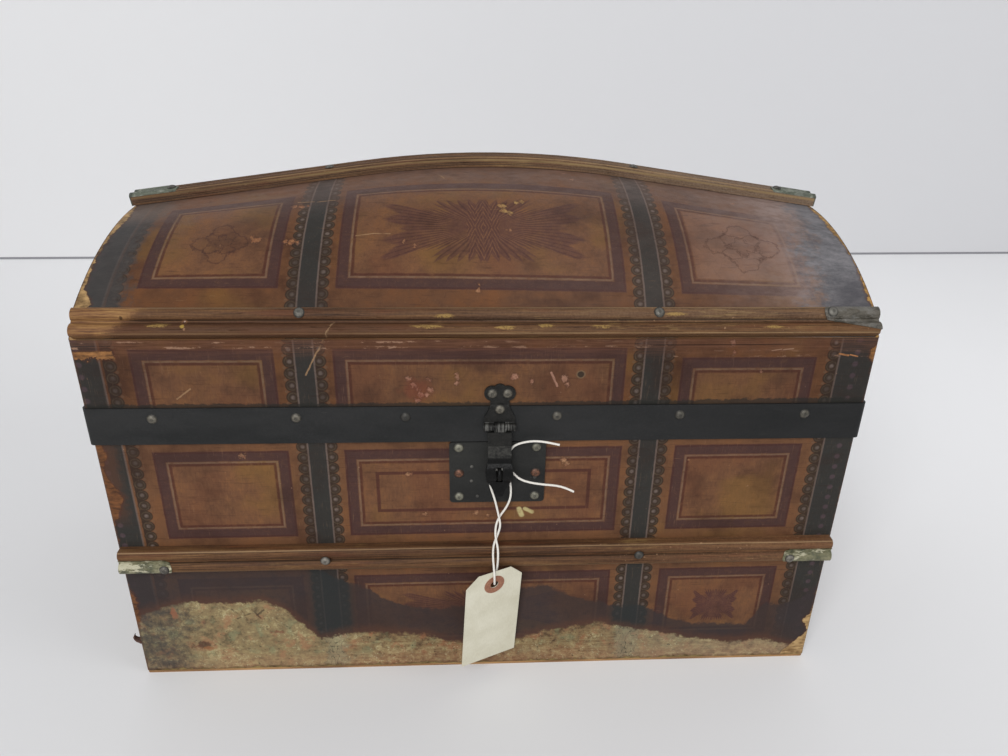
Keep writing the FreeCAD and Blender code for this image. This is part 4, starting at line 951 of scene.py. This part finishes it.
def nail_finish(name, dark, pale, way, copper=None, dull=()):
    """way is the heads' own direction, by which the dished middle, the ring and the rim are told.
    dull lists the heads that have gone dark: how far along each one is, and how dark."""
    finish = Finish(name, Roughness=0.4, Metallic=0.35, Specular_IOR_Level=0.4)
    pits = finish.noise(1.1, 4, 0.7)
    one = finish.noise(34, 1) + (finish.x < 0) * 0.06
    facing = finish.node("ShaderNodeVectorMath", {"operation": "ABSOLUTE"}, {
        0: finish.node("ShaderNodeTexCoord", output="Normal")})
    facing = finish.node("ShaderNodeVectorMath", {"operation": "DOT_PRODUCT"},
                         {0: facing, 1: way}, output="Value")
    finish.base = finish.ramp(pits * 0.5 + one * 0.5, (0.38, dark), (0.6, pale))
    if copper:
        finish.tint(abs(finish.z - COPPER_UP) < 5,
                    finish.ramp(pits, (0.35, copper[0]), (0.62, copper[1])))
    finish.tint(facing.rises(0.955, 0.985) * 0.5, "23211d")
    for along, part in dull:
        finish.tint((abs(finish.x - along) < 8) * (finish.y < 0) * part, "232322")
    finish.tint(facing.rises(0.86, 0.7) * 0.8, "171614")
    return finish.finished(0.35 + pits * 0.3, pits, 0.00015)


slat_way = (0, math.cos(math.radians(39.9)), math.sin(math.radians(39.9)))
dressed(nail_finish("tack, lid slat", "2f2d29", "66635c", slat_way, dull=[(190, 0.6)]),
        "lid_slat_nails")
dressed(nail_finish("tack, body slat", "35322d", "7d786f", (0, 1, 0),
                    dull=[(88.8, 0.75), (190, 0.6)]),
        "lower_slat_nails", "body_hinge_nails", "lid_hinge_nails")
dressed(nail_finish("tack, handle", "2c2924", "5c5952", (1, 0, 0)), "handle_nails")
dressed(nail_finish("tack, band", "2f2c26", "716c61", (0, 1, 0),
                    dull=[(-41.3, 0.85), (38.1, 0.3), (103.7, 0.5), (171.4, 0.3)]),
        "lid_band_nails", "hasp_plate_nails")
dressed(nail_finish("tack, lock", "45423a", "7a786a", (0, 1, 0), ("3d281c", "7a5340")),
        "lock_plate_nails")


# The hinges at the back: two strap hinges of plain sheet iron, japanned once, brown with rust at
# the knuckles, each with three nails to a leaf and a stop tab.
dressed(japan_finish("black japan, hinges", "2a2724", "403b35"), "left_hinge_lower_leaf",
        "left_hinge_upper_leaf", "right_hinge_lower_leaf", "right_hinge_upper_leaf")


# The handles: a strip of harness leather bowed between two stamped loops at each end, stitched
# along both edges and rubbed pale there.
HANDLE_UP, SEAM_OUT, STITCH = 108.0, 5.6, 2.6


def leather_finish():
    finish = Finish("harness leather", Roughness=0.6)
    creases = finish.noise(2.4, 6, 0.7, (1, 0.3, 1))
    finish.base = finish.ramp(creases, (0.3, "33221a"), (0.5, "4c3325"), (0.72, "71503a"))
    out = abs(finish.z - HANDLE_UP)
    stitches = abs(finish.y % STITCH - STITCH / 2).rises(0.9, 0.7)
    finish.tint(out.near(SEAM_OUT, 0.5, 0.25) * stitches * 0.8, "a58c66")
    finish.tint(out.rises(6.6, 7.4) * 0.6, "7d5a40")
    return finish.finished(0.5 + creases * 0.2, creases + finish.cells(1.2) * 0.6, 0.00025)


dressed(leather_finish(), "left_handle_strap", "right_handle_strap")
dressed(japan_finish("black japan, loops", "2a2825", "45413a"), "left_handle_loops",
        "right_handle_loops")


# The string that holds the tag: two thin cotton strands twisted together, white, knotted at the
# staple and looped through the tag's hole. Its two cut ends stand out from the knot.
STRING_THICK = 0.0012


def string_finish():
    finish = Finish("twisted cotton", Roughness=0.9)
    turns = (finish.z * 2.4 + finish.x * 2.9).sine()
    fluff = finish.noise(0.5)
    finish.base = finish.mixed(fluff, "c9c4bc", "e6e2da")
    finish.tint((turns * -1).rises(0.5, 1.0) * 0.2, "a39e97")
    return finish.finished(height=turns * 0.5 + fluff)


cotton = string_finish()


def string(name, route):
    """One free run of string along its route."""
    curve = bpy.data.curves.new(name, "CURVE")
    curve.dimensions = "3D"
    curve.bevel_depth, curve.bevel_resolution, curve.resolution_u = STRING_THICK / 2, 3, 6
    spline = curve.splines.new("NURBS")
    spline.points.add(len(route) - 1)
    for point, place in zip(spline.points, route):
        point.co = [length / 1000 for length in place] + [1]
    spline.order_u = 3
    spline.use_endpoint_u = True
    made = placed(name, curve)
    curve.materials.append(cotton)
    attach(made, "base")
    return made


loop = string("tag_loop", [
    (11.2, -118.6, 143.6), (7.8, -118.6, 143.5), (4.3, -118.6, 142.8), (2.3, -118.9, 138.4),
    (3.4, -119.2, 132.6), (5.4, -119.2, 126.2), (6.9, -119.3, 119.8), (8.2, -119.9, 113.6),
    (9.2, -121.0, 108.6), (7.6, -122.0, 103.0), (5.3, -123.6, 97.6), (4.9, -125.6, 91.4),
    (5.3, -130.6, 87.0), (5.7, -132.4, 82.0), (5.8, -131.3, 75.2), (6.1, -128.0, 74.8),
    (6.9, -127.3, 81.0), (7.5, -127.6, 86.4), (7.8, -127.0, 91.8), (7.6, -125.4, 97.0),
    (6.2, -123.6, 102.6), (6.4, -120.6, 108.4), (8.8, -118.4, 113.2), (12.0, -118.6, 118.2),
    (14.4, -118.8, 124.4), (14.7, -118.8, 131.2), (13.6, -118.6, 137.6), (12.4, -118.6, 142.6),
])
upper_end = string("upper_string_end", [
    (12.4, -118.5, 145.2), (12.9, -118.2, 149.6), (13.1, -118.0, 154.0), (15.4, -118.5, 158.0),
    (20.0, -120.0, 160.9), (26.0, -121.8, 162.8), (32.6, -123.4, 162.9), (39.2, -124.8, 161.9),
])
lower_end = string("lower_string_end", [
    (13.5, -118.6, 143.4), (16.0, -118.8, 140.6), (19.4, -119.8, 137.6), (25.0, -121.2, 136.4),
    (31.6, -122.8, 136.2), (38.4, -124.2, 136.4), (43.6, -125.4, 135.6), (48.0, -126.6, 133.8),
])
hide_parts("tag_string")
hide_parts("tag_string_upper_end")
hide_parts("tag_string_lower_end")
dressed(cotton, "string_knot")


# The tag: blank cream manila card with clipped corners, its hole strengthened by a round of
# red-brown paper pasted on.
def card_finish():
    finish = Finish("manila card", Roughness=0.8)
    fibre = finish.noise(0.7, 4, 0.7, (1, 1, 0.4))
    finish.base = finish.ramp(finish.noise(14, 4) * 0.6 + fibre * 0.4,
                              (0.35, "c0bba6"), (0.55, "ccc8b5"), (0.75, "d6d2c1"))
    return finish.finished(height=fibre, depth=0.00005)


def patch_finish():
    finish = Finish("red-brown patch", Roughness=0.75)
    fibre = finish.noise(0.9, 5, 0.7)
    finish.base = finish.ramp(fibre, (0.3, "76493a"), (0.55, "92634b"), (0.8, "a87b60"))
    return finish.finished(height=fibre, depth=0.00006)


dressed(card_finish(), "tag")
dressed(patch_finish(), "tag_patch")


# The table and the wall behind it: a white top, and a white wall that runs a little away to the
# right, with a thin grey line where they meet. Both carry painted light: the top grows lighter
# towards the back and the right, and the wall darker to the right.
LINE_HEIGHT = 3.5
TABLE = [(-4000, -3000, 0), (4000, -3000, 0), (4000, 886, 0), (-4000, 654, 0)]
WALL = [(-4000, 654, -50), (4000, 886, -50), (4000, 886, 3000), (-4000, 654, 3000)]


def stage_plane(name, corners, shaded):
    """A still plane behind the trunk; shaded gives its finish its colour, painted light included.
    """
    finish = Finish(name, Roughness=0.9, Specular_IOR_Level=0.1)
    shaded(finish)
    modelled(name, corners, [(0, 1, 2, 3)], finish.finished())


def table_painted_light(finish):
    # painted light: the white top is lighter towards the back and the right
    finish.base = finish.mixed((finish.y + finish.x * 0.5).rises(-500, 700), "d6d6d7", "f6f6f7")


def wall_colour_and_painted_light(finish):
    # painted light: the white wall is darker to the right
    finish.base = finish.mixed(finish.x.rises(-700, 700), "dfdfe0", "d5d5d7")
    finish.tint(finish.z < LINE_HEIGHT, "8e8e92")


stage_plane("table", TABLE, table_painted_light)
stage_plane("wall", WALL, wall_colour_and_painted_light)


# The light: a bright overcast room. One wide soft lamp above and in front, a weaker one to the
# right, and an even glow from all round.
def lamp(name, place, target, size, power):
    data = bpy.data.lights.new(name, "AREA")
    data.shape, data.size, data.energy = "DISK", size, power
    placed(name, data).matrix_world = Matrix.Translation(place) @ (
        Vector(target) - Vector(place)).to_track_quat("-Z", "Y").to_matrix().to_4x4()


lamp("window", (-0.6, -1.9, 1.5), (0, 0, 0.12), 1.6, 48)
lamp("side", (1.8, -0.9, 1.3), (0, 0, 0.15), 1.2, 8)
world = bpy.data.worlds.new("room")
world.use_nodes = True
room = world.node_tree
glow = room.nodes["Background"]
glow.inputs["Color"].default_value = (0.88, 0.89, 0.91, 1)
glow.inputs["Strength"].default_value = 0.45
seen = room.nodes.new("ShaderNodeBackground")
seen.inputs["Color"].default_value = colour("dededf")
rays = room.nodes.new("ShaderNodeLightPath")
direct = room.nodes.new("ShaderNodeMath")
direct.operation = "MAXIMUM"
choose = room.nodes.new("ShaderNodeMixShader")
for start, end in ((rays.outputs["Is Camera Ray"], direct.inputs[0]),
                   (rays.outputs["Is Transmission Ray"], direct.inputs[1]),
                   (direct.outputs[0], choose.inputs[0]), (glow.outputs[0], choose.inputs[1]),
                   (seen.outputs[0], choose.inputs[2]),
                   (choose.outputs[0], room.nodes["World Output"].inputs["Surface"])):
    room.links.new(start, end)
scene.world = world
scene.view_settings.view_transform = "Standard"
